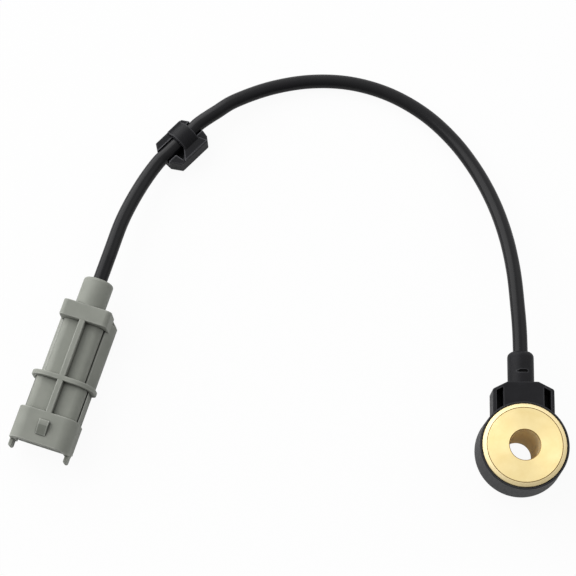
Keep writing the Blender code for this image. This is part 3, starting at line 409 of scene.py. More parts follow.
def new_object(name: str, data: bpy.types.ID) -> Piece:
    """Puts an object at the origin, in the scene.

    Args:
        name: its name.
        data: its mesh, curve, lamp or camera.

    Returns:
        The object.
    """
    made = bpy.data.objects.new(name, data)
    bpy.context.scene.collection.objects.link(made)
    return made


def settle(piece: Piece) -> Piece:
    """Turns a piece with modifiers into a plain mesh, merged, with its faces outwards.

    Args:
        piece: a mesh object.

    Returns:
        The same object.
    """
    depsgraph = bpy.context.evaluated_depsgraph_get()
    plain = bpy.data.meshes.new_from_object(piece.evaluated_get(depsgraph))
    piece.modifiers.clear()
    piece.data = plain
    shape = bmesh.new()
    shape.from_mesh(plain)
    bmesh.ops.remove_doubles(shape, verts=shape.verts, dist=MERGE)
    bmesh.ops.recalc_face_normals(shape, faces=shape.faces)
    shape.to_mesh(plain)
    shape.free()
    return piece


def soften(piece: Piece, rounding: float) -> Piece:
    """Rounds the sharp edges of a piece.

    Args:
        piece: a mesh object.
        rounding: the radius.

    Returns:
        The same object.
    """
    bevel = piece.modifiers.new("Rounding", "BEVEL")
    bevel.width = rounding
    bevel.segments = 3
    bevel.limit_method = "ANGLE"
    bevel.angle_limit = ROUNDED_ANGLE
    return settle(piece)


def work(piece: Piece, how: Join, *tools: Piece) -> Piece:
    """Fuses tools to a piece or carves them out of it, and removes the tools.

    Args:
        piece: the mesh object that stays.
        how: fuse or carve.
        tools: the mesh objects that are used up.

    Returns:
        The same object.
    """
    for tool in tools:
        step = piece.modifiers.new(tool.name, "BOOLEAN")
        step.operation = how.value
        step.solver = "EXACT"
        step.object = tool
    settle(piece)
    for tool in tools:
        bpy.data.objects.remove(tool, do_unlink=True)
    return piece


def prism(
    name: str, outline: Sequence[Point2], low: float, high: float, placement: Matrix,
    along: Along = Along.Z, rounding: float = 0.0,
) -> Piece:
    """A flat outline drawn out from low to high.

    Args:
        name: the object's name.
        outline: corners in turn: (x, y) along Z, (x, z) along Y, (y, z) along X.
        low: where it starts on its axis.
        high: where it ends.
        placement: the sub-assembly's place.
        along: the axis.
        rounding: radius of its sharp edges, or 0.

    Returns:
        A closed mesh object.
    """
    shape = bmesh.new()
    rings = [[shape.verts.new((x, y, z)) for x, y in outline] for z in (low, high)]
    shape.faces.new(rings[0])
    shape.faces.new(rings[1])
    count = len(outline)
    for i in range(count):
        j = (i + 1) % count
        shape.faces.new((rings[0][i], rings[0][j], rings[1][j], rings[1][i]))
    bmesh.ops.transform(shape, matrix=placement @ Matrix(along.value), verts=shape.verts)
    bmesh.ops.recalc_face_normals(shape, faces=shape.faces)
    mesh = bpy.data.meshes.new(name)
    shape.to_mesh(mesh)
    shape.free()
    made = new_object(name, mesh)
    return soften(made, rounding) if rounding else made


def block(name: str, low: Point3, high: Point3, placement: Matrix, rounding: float = 0.0) -> Piece:
    """A box between two corners, as a mesh object."""
    outline = ((low[0], low[1]), (high[0], low[1]), (high[0], high[1]), (low[0], high[1]))
    return prism(name, outline, low[2], high[2], placement, rounding=rounding)


def new_tree(name: str, inputs: dict[str, str]) -> tuple[Tree, Any]:
    """Starts a geometry tree.

    Args:
        name: the tree's name.
        inputs: the names of its inputs, each with its kind of socket.

    Returns:
        The tree, and the outputs of its input node.
    """
    tree = bpy.data.node_groups.new(name, "GeometryNodeTree")
    for label, kind in inputs.items():
        tree.interface.new_socket(label, in_out="INPUT", socket_type="NodeSocket" + kind)
    tree.interface.new_socket("Shape", in_out="OUTPUT", socket_type="NodeSocketGeometry")
    return tree, add_node(tree, "NodeGroupInput").outputs


def end_tree(tree: Tree, shape: Socket, material: Socket) -> Tree:
    """Ends a geometry tree by making its instances real and setting the material.

    Args:
        tree: the tree.
        shape: the geometry that it has made.
        material: the material for it.

    Returns:
        The same tree.
    """
    real = add_node(tree, "GeometryNodeRealizeInstances", inputs={0: shape})
    dressed = add_node(tree, "GeometryNodeSetMaterial", inputs={
        "Geometry": real, "Material": material})
    add_node(tree, "NodeGroupOutput", inputs={"Shape": dressed})
    return tree


def lathe_tree() -> Tree:
    """The tree that turns a profile about Z: a grid whose rows follow the profile's points.

    Returns:
        The tree, made once. Its inputs are the profile, Rows, Segments and Material.
    """
    known = bpy.data.node_groups.get("turned_on_a_lathe")
    if known is not None:
        return known
    named = {"Profile": "Geometry", "Rows": "Int", "Segments": "Int", "Material": "Material"}
    tree, given = new_tree("turned_on_a_lathe", named)
    columns = add_node(tree, "ShaderNodeMath", {"operation": "ADD"}, {0: given["Segments"], 1: 1.0})
    grid = add_node(tree, "GeometryNodeMeshGrid", inputs={
        "Vertices X": columns, "Vertices Y": given["Rows"]})
    number = add_node(tree, "GeometryNodeInputIndex").outputs[0]
    share = add_node(tree, "ShaderNodeMath", {"operation": "DIVIDE"}, {0: number, 1: given["Rows"]})
    column = add_node(tree, "ShaderNodeMath", {"operation": "FLOOR"}, {0: share})
    row = add_node(tree, "ShaderNodeMath", {"operation": "MODULO"}, {0: number, 1: given["Rows"]})
    size = add_node(
        tree, "GeometryNodeAttributeDomainSize", {"component": "MESH"}, {0: given["Profile"]})
    point = add_node(tree, "ShaderNodeMath", {"operation": "MODULO"}, {
        0: row, 1: size.outputs["Point Count"]})
    position = add_node(tree, "GeometryNodeInputPosition").outputs[0]
    sample = add_node(
        tree, "GeometryNodeSampleIndex", {"data_type": "FLOAT_VECTOR", "domain": "POINT"},
        {"Geometry": given["Profile"], "Value": position, "Index": point})
    part = add_node(tree, "ShaderNodeMath", {"operation": "DIVIDE"}, {
        0: column, 1: given["Segments"]})
    angle = add_node(tree, "ShaderNodeMath", {"operation": "MULTIPLY"}, {0: part, 1: math.tau})
    turn = add_node(tree, "ShaderNodeVectorRotate", {"rotation_type": "Z_AXIS"}, {
        "Vector": sample, "Angle": angle})
    moved = add_node(tree, "GeometryNodeSetPosition", inputs={
        "Geometry": grid.outputs["Mesh"], "Position": turn})
    closed = add_node(tree, "GeometryNodeMergeByDistance", inputs={
        "Geometry": moved, "Distance": MERGE})
    return end_tree(tree, closed.outputs[0], given["Material"])


def grow(piece: Piece, tree: Tree, values: dict[str, Any]) -> Piece:
    """Runs a node tree on a piece and keeps the result as a plain mesh.

    Args:
        piece: the object that the tree starts from.
        tree: the geometry tree.
        values: input names with their values.

    Returns:
        The same object.
    """
    step = piece.modifiers.new(tree.name, "NODES")
    step.node_group = tree
    for item in tree.interface.items_tree:
        if item.item_type == "SOCKET" and item.in_out == "INPUT" and item.name in values:
            step[item.identifier] = values[item.name]
    return settle(piece)


def turned(
    name: str, profile: Sequence[Point2], placement: Matrix, finish: Finish, segments: int = 96,
    on_axis: bool = False,
) -> Piece:
    """A profile of (radius, height) turned about Z.

    Args:
        name: the object's name.
        profile: its points, down the outer side.
        placement: the sub-assembly's place.
        finish: its surface.
        segments: facets round the axis.
        on_axis: True where the profile starts and ends on the axis.

    Returns:
        A closed mesh object.
    """
    mesh = bpy.data.meshes.new(name)
    mesh.from_pydata([(radius, 0.0, height) for radius, height in profile], [], [])
    made = new_object(name, mesh)
    rows = len(profile) if on_axis else len(profile) + 1
    grow(made, lathe_tree(), {"Rows": rows, "Segments": segments, "Material": finish.material()})
    made.data.transform(placement)
    return made


def rod(
    name: str, radius: float, low: float, high: float, placement: Matrix, finish: Finish,
    segments: int = 96,
) -> Piece:
    """A solid round bar along Z of its placement."""
    profile = ((0.0, high), (radius, high), (radius, low), (0.0, low))
    return turned(name, profile, placement, finish, segments, on_axis=True)


def rounded_rectangle(
    width: float, low: float, high: float, rounding: float, low_rounding: float | None = None,
    step: float = 0.0, ledge: float = 0.0,
) -> list[Point2]:
    """An outline centred on the first axis, with arcs at its corners.

    Args:
        width: its size on the first axis.
        low: its lower side on the second axis.
        high: its upper side.
        rounding: radius of the corners.
        low_rounding: radius of the two low corners, where it differs.
        step: how far the part over the ledges is set in on each side, or 0.
        ledge: the ledges' place on the second axis.

    Returns:
        The outline's points.
    """
    rounding = min(rounding, width / 2 - MERGE, (high - low) / 2 - MERGE)
    if low_rounding is None:
        low_rounding = rounding
    half, inner = width / 2, width / 2 - step
    top, foot = high - rounding, low + low_rounding
    ledges = [(half, ledge), (inner, ledge)] if step else []
    return [
        *ledges, *arc((inner - rounding, top), rounding, 0.0, 90.0, CORNER_STEPS),
        *arc((rounding - inner, top), rounding, 90.0, 180.0, CORNER_STEPS),
        *[(-x, y) for x, y in reversed(ledges)],
        *arc((low_rounding - half, foot), low_rounding, 180.0, 270.0, CORNER_STEPS),
        *arc((half - low_rounding, foot), low_rounding, 270.0, 360.0, CORNER_STEPS)]


def mirrored(right: Sequence[Point2]) -> list[Point2]:
    """An outline from its right half, which goes from the foot up; it starts at the left foot."""
    left = [(-x, y) for x, y in reversed(right)]
    return [left[-1], *right, *left[:-1]]


def standing(place: Point2, heading: float) -> Matrix:
    """The place of a sub-assembly on the floor, turned by its heading in degrees."""
    return Matrix.Translation((*place, 0.0)) @ Matrix.Rotation(math.radians(heading), 4, "Z")


def along_y(placement: Matrix, height: float) -> Matrix:
    """The place of a turned part whose axis lies along +Y at a height."""
    return placement @ Matrix.Translation((0.0, 0.0, height)) @ TURN_TO_Y


def arc(centre: Point2, radius: float, start: float, end: float, steps: int = 6) -> list[Point2]:
    """Points on an arc.

    Args:
        centre: its middle.
        radius: its radius.
        start: the first angle in degrees.
        end: the last angle.
        steps: facets in it.

    Returns:
        The points, both ends among them.
    """
    angles = [math.radians(start + (end - start) * step / steps) for step in range(steps + 1)]
    return [(centre[0] + radius * math.cos(a), centre[1] + radius * math.sin(a)) for a in angles]


def round_ended_profile(radius: float, root: float, end: float, rounding: float) -> list[Point2]:
    """The profile of a round boss with a rounded end."""
    corner = arc((radius - rounding, end - rounding), rounding, 90.0, 0.0)
    return [(0.0, end), *corner, (radius, root), (0.0, root)]


def dress(piece: Piece, finishes: Sequence[Finish], nodes: Sequence[str]) -> Piece:
    """Gives a finished piece its surface, and ties it to the frame.

    Args:
        piece: the mesh object.
        finishes: its surfaces, the main one first.
        nodes: the CAD nodes that it stands for.

    Returns:
        The same object.
    """
    mesh = piece.data
    while len(mesh.materials) > len(finishes):
        mesh.materials.pop()
    while len(mesh.materials) < len(finishes):
        mesh.materials.append(None)
    for index, finish in enumerate(finishes):
        mesh.materials[index] = finish.material()
    mesh.shade_smooth()
    mesh.set_sharp_from_angle(angle=SHARP_ANGLE)
    weights = piece.modifiers.new("Even shading", "WEIGHTED_NORMAL")
    weights.keep_sharp = True
    plain = bpy.data.meshes.new_from_object(
        piece.evaluated_get(bpy.context.evaluated_depsgraph_get()))
    piece.modifiers.clear()
    piece.data = plain
    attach(piece, BODY)
    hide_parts(*nodes)
    LOG.info("%s: %d faces", piece.name, len(plain.polygons))
    return piece


@dataclass
class BrassSleeve:
    """The turned brass piece: flange with the mounting face, and the tube with the bolt bore."""

    bore_radius: float = 0.0042
    sleeve_radius: float = 0.0062
    flange_radius: float = 0.01155
    face_radius: float = 0.0105
    height: float = 0.0200
    flange_bottom: float = 0.0174
    chamfer_drop: float = 0.0005
    bore_chamfer: float = 0.0002
    groove_radius: float = 0.01036
    groove_width: float = 0.00020
    groove_depth: float = 0.00016
    edge: float = 0.00012
    bore_share: float = 0.9
    lip_shade_share: float = 0.3

    def profile(self) -> list[Point2]:
        """The section of the piece, with the fine groove inside the rim and softened edges.

        Returns:
            Points of (radius, height).
        """
        top = self.height
        inner = self.groove_radius - self.groove_width / 2
        outer = self.groove_radius + self.groove_width / 2
        rim = top - self.chamfer_drop
        return [
            (self.bore_radius + self.bore_chamfer, top), (inner - self.edge / 2, top),
            (inner, top - self.edge / 3), (self.groove_radius, top - self.groove_depth),
            (outer, top - self.edge / 4), (self.face_radius, top - self.edge / 4),
            (self.face_radius + self.edge, top - self.edge),
            (self.flange_radius - self.edge, rim + self.edge / 3),
            (self.flange_radius, rim - self.edge),
            (self.flange_radius, self.flange_bottom + self.edge),
            (self.flange_radius - self.edge, self.flange_bottom),
            (self.sleeve_radius, self.flange_bottom), (self.sleeve_radius, self.bore_chamfer),
            (self.sleeve_radius - self.bore_chamfer, 0.0),
            (self.bore_radius + self.bore_chamfer, 0.0), (self.bore_radius, self.bore_chamfer),
            (self.bore_radius, top - self.bore_chamfer)]

    def build(self) -> Piece:
        """Makes and dresses the sleeve.

        Returns:
            The piece.
        """
        made = turned("brass_sleeve", self.profile(), HEAD, BRASS, segments=FLANGE_FACETS)
        finishes = [BRASS, BORE_BRASS_PAINTED_LIGHT, RIM_BRASS_PAINTED_SHEEN, SHADED_GROOVE_BRASS]
        for face in made.data.polygons:
            radius = math.hypot(face.center.x, face.center.y - BORE_Y)
            in_bore = radius < self.bore_radius + self.bore_chamfer * self.bore_share
            from_groove = abs(radius - self.groove_radius)
            from_lip = abs(radius - self.bore_radius - self.bore_chamfer / 2)
            at_top = face.center.z > self.flange_bottom
            at_lip = from_lip < self.bore_chamfer * self.lip_shade_share
            look = BRASS
            # The groove and a band round the bore's edge take the dark brown finish, which is
            # painted shade.
            if at_top and (from_groove < self.groove_width / 2 or at_lip):
                look = SHADED_GROOVE_BRASS
            # The bore: the pale finish, painted light.
            elif in_bore:
                look = BORE_BRASS_PAINTED_LIGHT
            # The rim band: the paler finish, a painted sheen.
            elif at_top and radius > self.groove_radius:
                look = RIM_BRASS_PAINTED_SHEEN
            face.material_index = finishes.index(look)
        return dress(made, finishes, ["base_sleeve"])


@dataclass
class HeadBody:
    """The black moulding round the sleeve: ring wall, shoulder with two pockets, and neck."""

    lip_top: float = 0.0194
    recess_radius: float = 0.01175
    front_radius: float = 0.01225
    wide_radius: float = 0.0126
    back_radius: float = 0.0109
    taper_top: float = 0.0080
    knee_above: Point2 = (0.00004, 0.0012)
    knee_below: Point2 = (0.00012, 0.0006)
    standout: float = 0.0006
    floor_top: float = 0.0030
    recess_floor: float = 0.0171
    hole_radius: float = 0.0065
    room_radius: float = 0.01035
    edge: float = 0.00025
    shoulder_half: float = 0.0085
    shoulder_neck_half: float = 0.0042
    shoulder_side_reach: float = 0.0157
    shoulder_reach: float = 0.0179
    shoulder_top: float = 0.0192
    shoulder_bottom: float = 0.0105
    shoulder_rounding: float = 0.00045
    rim: float = 0.0010
    pocket_width: float = 0.0019
    pocket_floor: float = 0.0127
    pocket_end_margin: float = 0.0004
    neck_radius: float = 0.0037
    neck_reach: float = 0.0274
    neck_rounding: float = 0.0016
    neck_height: float = 0.0135
    neck_root: float = 0.01135
    notch_width: float = 0.0034
    notch_length: float = 0.0008
    notch_depth: float = 0.0010
    notch_from_end: float = 0.0056
    passage_radius: float = 0.0018
    joint_room_low: Point3 = (-0.00335, 0.00915, 0.01185)
    joint_room_high: Point3 = (0.00335, 0.01715, 0.0167)

    def ring_wall(self) -> Piece:
        """The wall round the flange, with the room for the stack inside it.

        Returns:
            The mesh object.
        """
        front, wide, back, edge = self.front_radius, self.wide_radius, self.back_radius, self.edge
        foot = self.standout
        profile = [
            (self.recess_radius + edge / 3, self.lip_top),
            *arc((front - edge, self.lip_top - edge), edge, 90.0, 0.0, EDGE_STEPS),
            (wide - self.knee_above[0], self.taper_top + self.knee_above[1]),
            (wide, self.taper_top),
            (wide - self.knee_below[0], self.taper_top - self.knee_below[1]),
            *arc((back - edge, foot + edge), edge, 0.0, -90.0, EDGE_STEPS),
            (self.hole_radius, foot), (self.hole_radius, self.floor_top),
            (self.room_radius, self.floor_top), (self.room_radius, self.recess_floor),
            (self.recess_radius, self.recess_floor), (self.recess_radius, self.lip_top - edge / 3)]
        return turned("head_body", profile, HEAD, BLACK_NYLON, segments=WALL_FACETS)

    def shoulder(self) -> Piece:
        """The shoulder that carries the neck, with a pocket on each side.

        Returns:
            The mesh object.
        """
        half, neck_half = self.shoulder_half, self.shoulder_neck_half
        side, end = self.shoulder_side_reach, self.shoulder_reach
        outline = mirrored(((half, 0.0), (half, side), (neck_half, end)))
        made = prism(
            "shoulder", outline, self.shoulder_bottom, self.shoulder_top, HEAD,
            rounding=self.shoulder_rounding)
        middle = (self.recess_radius + self.front_radius) / 2
        work(
            made, Join.CARVE,
            rod("ring_room", middle, 0.0, self.lip_top + OVERRUN, HEAD, BLACK_NYLON, WALL_FACETS))
        slope = (end - side) / (half - neck_half)
        outer = half - self.rim
        inner = outer - self.pocket_width
        reach = side - self.pocket_end_margin
        for sign, name in ((-1, "left_pocket"), (1, "right_pocket")):
            pocket = (
                (sign * inner, 0.0), (sign * outer, 0.0), (sign * outer, reach),
                (sign * inner, reach + self.pocket_width * slope))
            tool = prism(name, pocket, self.pocket_floor, self.shoulder_top + OVERRUN, HEAD)
            work(made, Join.CARVE, tool)
        return made

    def notch(self) -> list[Point2]:
        """The outline of the slot in the neck: a lens whose left end is drawn out to a point.

        Returns:
            The outline's points.
        """
        half, deep = self.notch_width / 2, self.notch_length
        low = self.neck_reach - self.notch_from_end - deep
        shares = ((-1.0, 0.35), (-0.45, 0.0), (0.75, 0.0), (1.0, 0.45), (0.8, 1.0), (-0.25, 1.0))
        return [(half * across, low + deep * up) for across, up in shares]

    def build(self) -> Piece:
        """Makes and dresses the black body.

        Returns:
            The piece.
        """
        made = self.ring_wall()
        axis = along_y(HEAD, self.neck_height)
        neck_profile = round_ended_profile(
            self.neck_radius, self.neck_root, self.neck_reach, self.neck_rounding)
        neck = turned("neck", neck_profile, axis, BLACK_NYLON, on_axis=True)
        work(made, Join.FUSE, self.shoulder(), neck)
        crown = self.neck_height + self.neck_radius
        start, end = self.joint_room_high[1] - OVERRUN / 2, self.neck_reach + OVERRUN
        tools = [
            block("joint_room", self.joint_room_low, self.joint_room_high, HEAD),
            prism("notch", self.notch(), crown - self.notch_depth, crown + OVERRUN, HEAD),
            rod("core_passage", self.passage_radius, start, end, axis, BLACK_NYLON, PASSAGE_FACETS)]
        work(made, Join.CARVE, *tools)
        return dress(made, [BLACK_NYLON], ["head_overmould"])


@dataclass
class LeadClip:
    """The clip on the lead: a saddle with a strap folded over its half that faces the head."""

    centre: Point2 = (-0.09856, 0.08418)
    heading: float = 46.7
    cable_height: float = 0.0050
    length: float = 0.0147
    width: float = 0.0104
    side_shift: float = 0.0007
    near_side_lead: float = 0.0008
    corner_swell: float = 0.0003
    base_height: float = 0.0058
    corner_length: float = 0.0021
    corner_width: float = 0.0031
    groove_radius: float = 0.00245
    strap_radius: float = 0.00365
    strap_start: float = -0.0006
    strap_width: float = 0.0053
    strap_arc: float = 96.0
    plate_thickness: float = 0.0007
    plate_flare: float = 0.0025
    plate_inset: float = 0.0001
    notch_width: float = 0.0030
    notch_depth: float = 0.0032
    notch_undercut: float = 0.0007
    rounding: float = 0.00028

    @property
    def placement(self) -> Matrix:
        """The clip's place: its +Y runs along the lead towards the head."""
        return standing(self.centre, self.heading - 90.0)

    def saddle(self) -> Piece:
        """The eight-sided block under the lead.

        Returns:
            The mesh object.
        """
        half = self.length / 2
        near, far = self.side_shift + self.width / 2, self.side_shift - self.width / 2
        corner = half - self.corner_length
        near_corner, far_corner = near - self.corner_width, far + self.corner_width
        lead = self.near_side_lead
        swell = self.corner_swell
        bulge = ((near + near_corner) / 2 + swell, (lead + corner + half) / 2 + swell)
        outline = (
            (near, lead - corner), (near, lead + corner), bulge, (near_corner, half),
            (far_corner, half), (far, corner), (far, -corner), (far_corner, -half),
            (0.0, lead - half), (near_corner, lead - half))
        return prism(
            "lead_clip", outline, 0.0, self.base_height, self.placement, rounding=self.rounding)

    def strap(self) -> Piece:
        """The strap's arch over the lead.

        Returns:
            The mesh object.
        """
        foot = self.base_height + self.plate_thickness / 2 - self.cable_height
        start = math.radians(90.0 - self.strap_arc / 2)
        flank = (self.strap_radius * math.sin(start) - foot) / math.cos(start)
        foot_x = self.strap_radius * math.cos(start) + flank * math.sin(start)
        crown = arc(
            (0.0, self.cable_height), self.strap_radius, 90.0 - self.strap_arc / 2,
            90.0 + self.strap_arc / 2, STRAP_STEPS)
        outline = [(foot_x, self.cable_height + foot), *crown, (-foot_x, self.cable_height + foot)]
        return prism(
            "strap", outline, self.strap_start, self.strap_start + self.strap_width, self.placement,
            Along.Y, rounding=self.rounding)

    def plate(self) -> Piece:
        """The flat wings of the strap, flared on the near side.

        Returns:
            The mesh object.
        """
        near = self.side_shift + self.width / 2 - self.plate_inset
        far = self.side_shift - self.width / 2 + self.plate_inset
        start = self.strap_start + self.plate_inset
        end = self.strap_start + self.strap_width - self.plate_inset
        corner = self.length / 2 - self.corner_length + self.near_side_lead
        outline = (
            (far, start), (self.groove_radius, start), (near, self.strap_start - self.plate_flare),
            (near, corner), (self.groove_radius, end), (far, end))
        return prism(
            "strap_wings", outline, self.base_height - self.plate_thickness,
            self.base_height + self.plate_thickness, self.placement, rounding=self.rounding / 2)

    def build(self) -> Piece:
        """Makes and dresses the clip.

        Returns:
            The piece.
        """
        made = self.saddle()
        near = self.side_shift + self.width / 2 - self.plate_inset
        notch_start = self.strap_start - self.notch_width
        deep = self.strap_start + self.notch_undercut
        notch = (
            (0.0, deep), (0.0, notch_start), (self.groove_radius, notch_start),
            (near - self.notch_undercut, self.strap_start - self.plate_flare),
            (self.groove_radius, deep))
        end = self.length / 2 + OVERRUN
        mouth = self.groove_radius - self.plate_inset
        top = self.base_height + OVERRUN
        place = self.placement
        low, high = (-mouth, -end, self.cable_height), (mouth, end, top)
        work(
            made, Join.CARVE,
            prism("strap_notch", notch, self.base_height - self.notch_depth, top, place),
            block("groove_mouth", low, high, place))
        work(made, Join.FUSE, self.plate(), self.strap())
        axis = along_y(place, self.cable_height)
        work(made, Join.CARVE, rod("groove", self.groove_radius, -end, end, axis, BLACK_NYLON))
        return dress(made, [CLIP_NYLON], ["cable_clip"])


@dataclass(frozen=True)
class Barrel:
    """One length of the housing's barrel: its width, height, corners, and drop from the top."""

    width: float
    drop: float
    height: float
    corner: float


@dataclass
class PlugHousing:
    """The grey housing: shroud, ribbed barrel on its slide plate, collar and boot."""

    place: Point2 = (-0.13137, 0.00061)
    heading: float = -16.78
    top: float = 0.0133
    shroud_width: float = 0.0176
    shroud_height: float = 0.0120
    shroud_length: float = 0.0094
    wall: float = 0.0017
    shroud_rounding: float = 0.0040
    shroud_foot_rounding: float = 0.0021
    mouth_floor: float = -0.0008
    cutback: float = 0.0010
    cutback_height: float = 0.0034
    ear_length: float = 0.0022
    ear_height: float = 0.0034
    ear_thickness: float = 0.0012
    ear_drop: float = 0.0010
    nub_width: float = 0.0029
    nub_start: float = 0.0026
    nub_length: float = 0.0043
    nub_height: float = 0.0013
    nub_toe: float = 0.0003
    nub_crest_length: float = 0.001548
    nub_rounding: float = 0.000175
    flush_step: float = 0.00005
    rib_start: float = 0.0096
    rib_thickness: float = 0.0014
    rib_width: float = 0.0188
    rib_rounding: float = 0.0062
    rib_foot_rounding: float = 0.0035
    lower: Barrel = Barrel(width=0.0158, drop=0.0020, height=0.0104, corner=0.0027)
    upper: Barrel = Barrel(width=0.0124, drop=0.0024, height=0.0094, corner=0.0022)
    barrel_step: float = 0.00035
    ledge_drop: float = 0.0033
    spine_width: float = 0.0017
    spine_height: float = 0.0040
    collar_start: float = 0.02775
    collar_length: float = 0.00475
    collar_width: float = 0.0143
    collar_height: float = 0.0092
    collar_rounding: float = 0.0016
    plate_width: float = 0.0162
    plate_front_width: float = 0.0156
    plate_thickness: float = 0.0031
    plate_back: float = 0.0323
    plate_corner: float = 0.0015
    flank_top_width: float = 0.0129
    flank_drop: float = 0.0034
    seam_width: float = 0.0003
    seam_depth: float = 0.0006
    boot_radius: float = 0.0044
    boot_end: float = 0.0409
    boot_rounding: float = 0.0009
    boot_height: float = 0.0088
    terminal_height: float = 0.0073
    slot_half: Point2 = (0.00105, 0.0007)
    slot_end: float = 0.0046
    pitch: float = 0.0033
    room_width: float = 0.0094
    room_low: float = 0.0056
    room_high: float = 0.0099
    room_start: float = 0.0036
    room_end: float = 0.0295
    passage_radius: float = 0.0018
    rounding: float = 0.00025

    @property
    def placement(self) -> Matrix:
        """The connector's place: its +Y runs from the mouth towards the lead."""
        return standing(self.place, self.heading)

    @property
    def boot_axis(self) -> Matrix:
        """The place of what is round about the lead's axis in the boot."""
        return along_y(self.placement, self.boot_height)

    def barrel(self) -> list[Piece]:
        """The two barrel lengths, the rib between them, the collar and the spine on top.

        Returns:
            The mesh objects.
        """
        rib_middle = self.rib_start + self.rib_thickness / 2
        rib_end = self.rib_start + self.rib_thickness
        collar_middle = self.collar_start + self.collar_length / 2
        place, soft = self.placement, self.rounding
        lengths = []
        for name, part, start, end in (
            ("lower_barrel", self.lower, -self.wall / 2, rib_middle),
            ("upper_barrel", self.upper, rib_middle, collar_middle),
        ):
            top = self.top - part.drop
            outline = rounded_rectangle(
                part.width, top - part.height, top, part.corner, step=self.barrel_step,
                ledge=top - self.ledge_drop)
            lengths.append(prism(name, outline, start, end, place, Along.Y))
        rib = rounded_rectangle(
            self.rib_width, self.flush_step, self.top, self.rib_rounding, self.rib_foot_rounding)
        lengths.insert(1, prism("rib", rib, self.rib_start, rib_end, place, Along.Y, soft))
        collar = rounded_rectangle(
            self.collar_width, self.top - self.collar_height, self.top, self.collar_rounding)
        end = self.collar_start + self.collar_length
        lengths.append(prism("collar", collar, self.collar_start, end, place, Along.Y, soft))
        half = self.spine_width / 2
        low = (-half, -self.wall / 2, self.top - self.spine_height)
        high = (half, collar_middle, self.top - self.flush_step)
        return [*lengths, block("spine", low, high, place, soft)]

    def slide_plate(self) -> Piece:
        """The flat plate under the barrel, which slides into a bracket.

        Returns:
            The mesh object.
        """
        half, front_half = self.plate_width / 2, self.plate_front_width / 2
        front = -self.wall * 2 / 3
        back, corner = self.plate_back, self.plate_corner
        step = self.rib_start + self.rib_thickness * 2 / 3
        widened = self.rib_start + self.rib_thickness * 3 / 4
        right = (
            (front_half, front), (front_half, step), (half, widened), (half, back - corner),
            (half - corner, back))
        return prism(
            "slide_plate", mirrored(right), 0.0, self.plate_thickness, self.placement,
            rounding=self.rounding)

    def flanks(self) -> Piece:
        """The sloping sides from the upper barrel down to the plate's edges.

        Returns:
            The mesh object.
        """
        foot = (self.plate_width / 2 - self.flush_step, self.plate_thickness - self.flush_step)
        crest = (self.flank_top_width / 2, self.top - self.upper.drop - self.flank_drop)
        outline = mirrored((foot, crest))
        start, end = self.rib_start + self.rib_thickness / 2, self.plate_back - self.plate_corner
        return prism("flanks", outline, start, end, self.placement, Along.Y, self.rounding / 2)

    def seams(self) -> list[Piece]:
        """The dark seam on each side, where the barrel stands in its lower part.

        Returns:
            The cutting tools.
        """
        made = []
        rib_end = self.rib_start + self.rib_thickness
        for part, start, end in (
            (self.lower, self.wall / 4, self.rib_start - self.flush_step),
            (self.upper, rib_end + self.flush_step, self.collar_start - self.flush_step),
        ):
            inner = part.width / 2 - self.barrel_step - self.flush_step
            ledge = self.top - part.drop - self.ledge_drop
            for sign in (-1, 1):
                near, far = sorted((sign * inner, sign * (inner + self.seam_width)))
                low = (near, start, ledge - self.seam_depth)
                made.append(block("seam", low, (far, end, ledge + self.seam_depth), self.placement))
        return made

    def ears(self) -> list[Piece]:
        """The two guides that stand out in front of the mouth.

        Returns:
            The mesh objects.
        """
        tip = -self.shroud_length - self.ear_length
        half = self.ear_thickness / 2
        root = self.wall - self.shroud_length
        low = self.terminal_height - self.ear_drop - self.ear_height / 2
        place = self.placement
        made = []
        for sign, name in ((-1, "left_ear"), (1, "right_ear")):
            middle = sign * (self.shroud_width / 2 - self.flush_step - half)
            outline = [(middle + half, root), (middle - half, root)]
            outline += arc((middle, tip + half), half, 180.0, 360.0, CORNER_STEPS)
            high = low + self.ear_height
            made.append(prism(name, outline, low, high, place, rounding=self.rounding))
        return made

    def nub(self) -> Piece:
        """The lock nub on the shroud: a ramp that ends in a step.

        Returns:
            The mesh object.
        """
        toe = -self.nub_start - self.nub_length
        root = self.top - self.wall / 2
        crest = self.top + self.nub_height
        outline = (
            (toe, root), (-self.nub_start, root), (-self.nub_start, crest),
            (-self.nub_start - self.nub_crest_length, crest), (toe, self.top + self.nub_toe))
        half = self.nub_width / 2
        return prism("lock_nub", outline, -half, half, self.placement, Along.X, self.nub_rounding)

    def on_ramp(self, centre: Vector) -> bool:
        """Whether a face lies on the nub's ramp, clear of the shroud's top.

        Args:
            centre: the face's centre.

        Returns:
            True on the ramp.
        """
        x, y, z = self.placement.inverted() @ centre
        crest_end = -self.nub_start - self.nub_crest_length
        return abs(x) < self.nub_width / 2 and z > self.top + self.rounding / 4 and y < crest_end

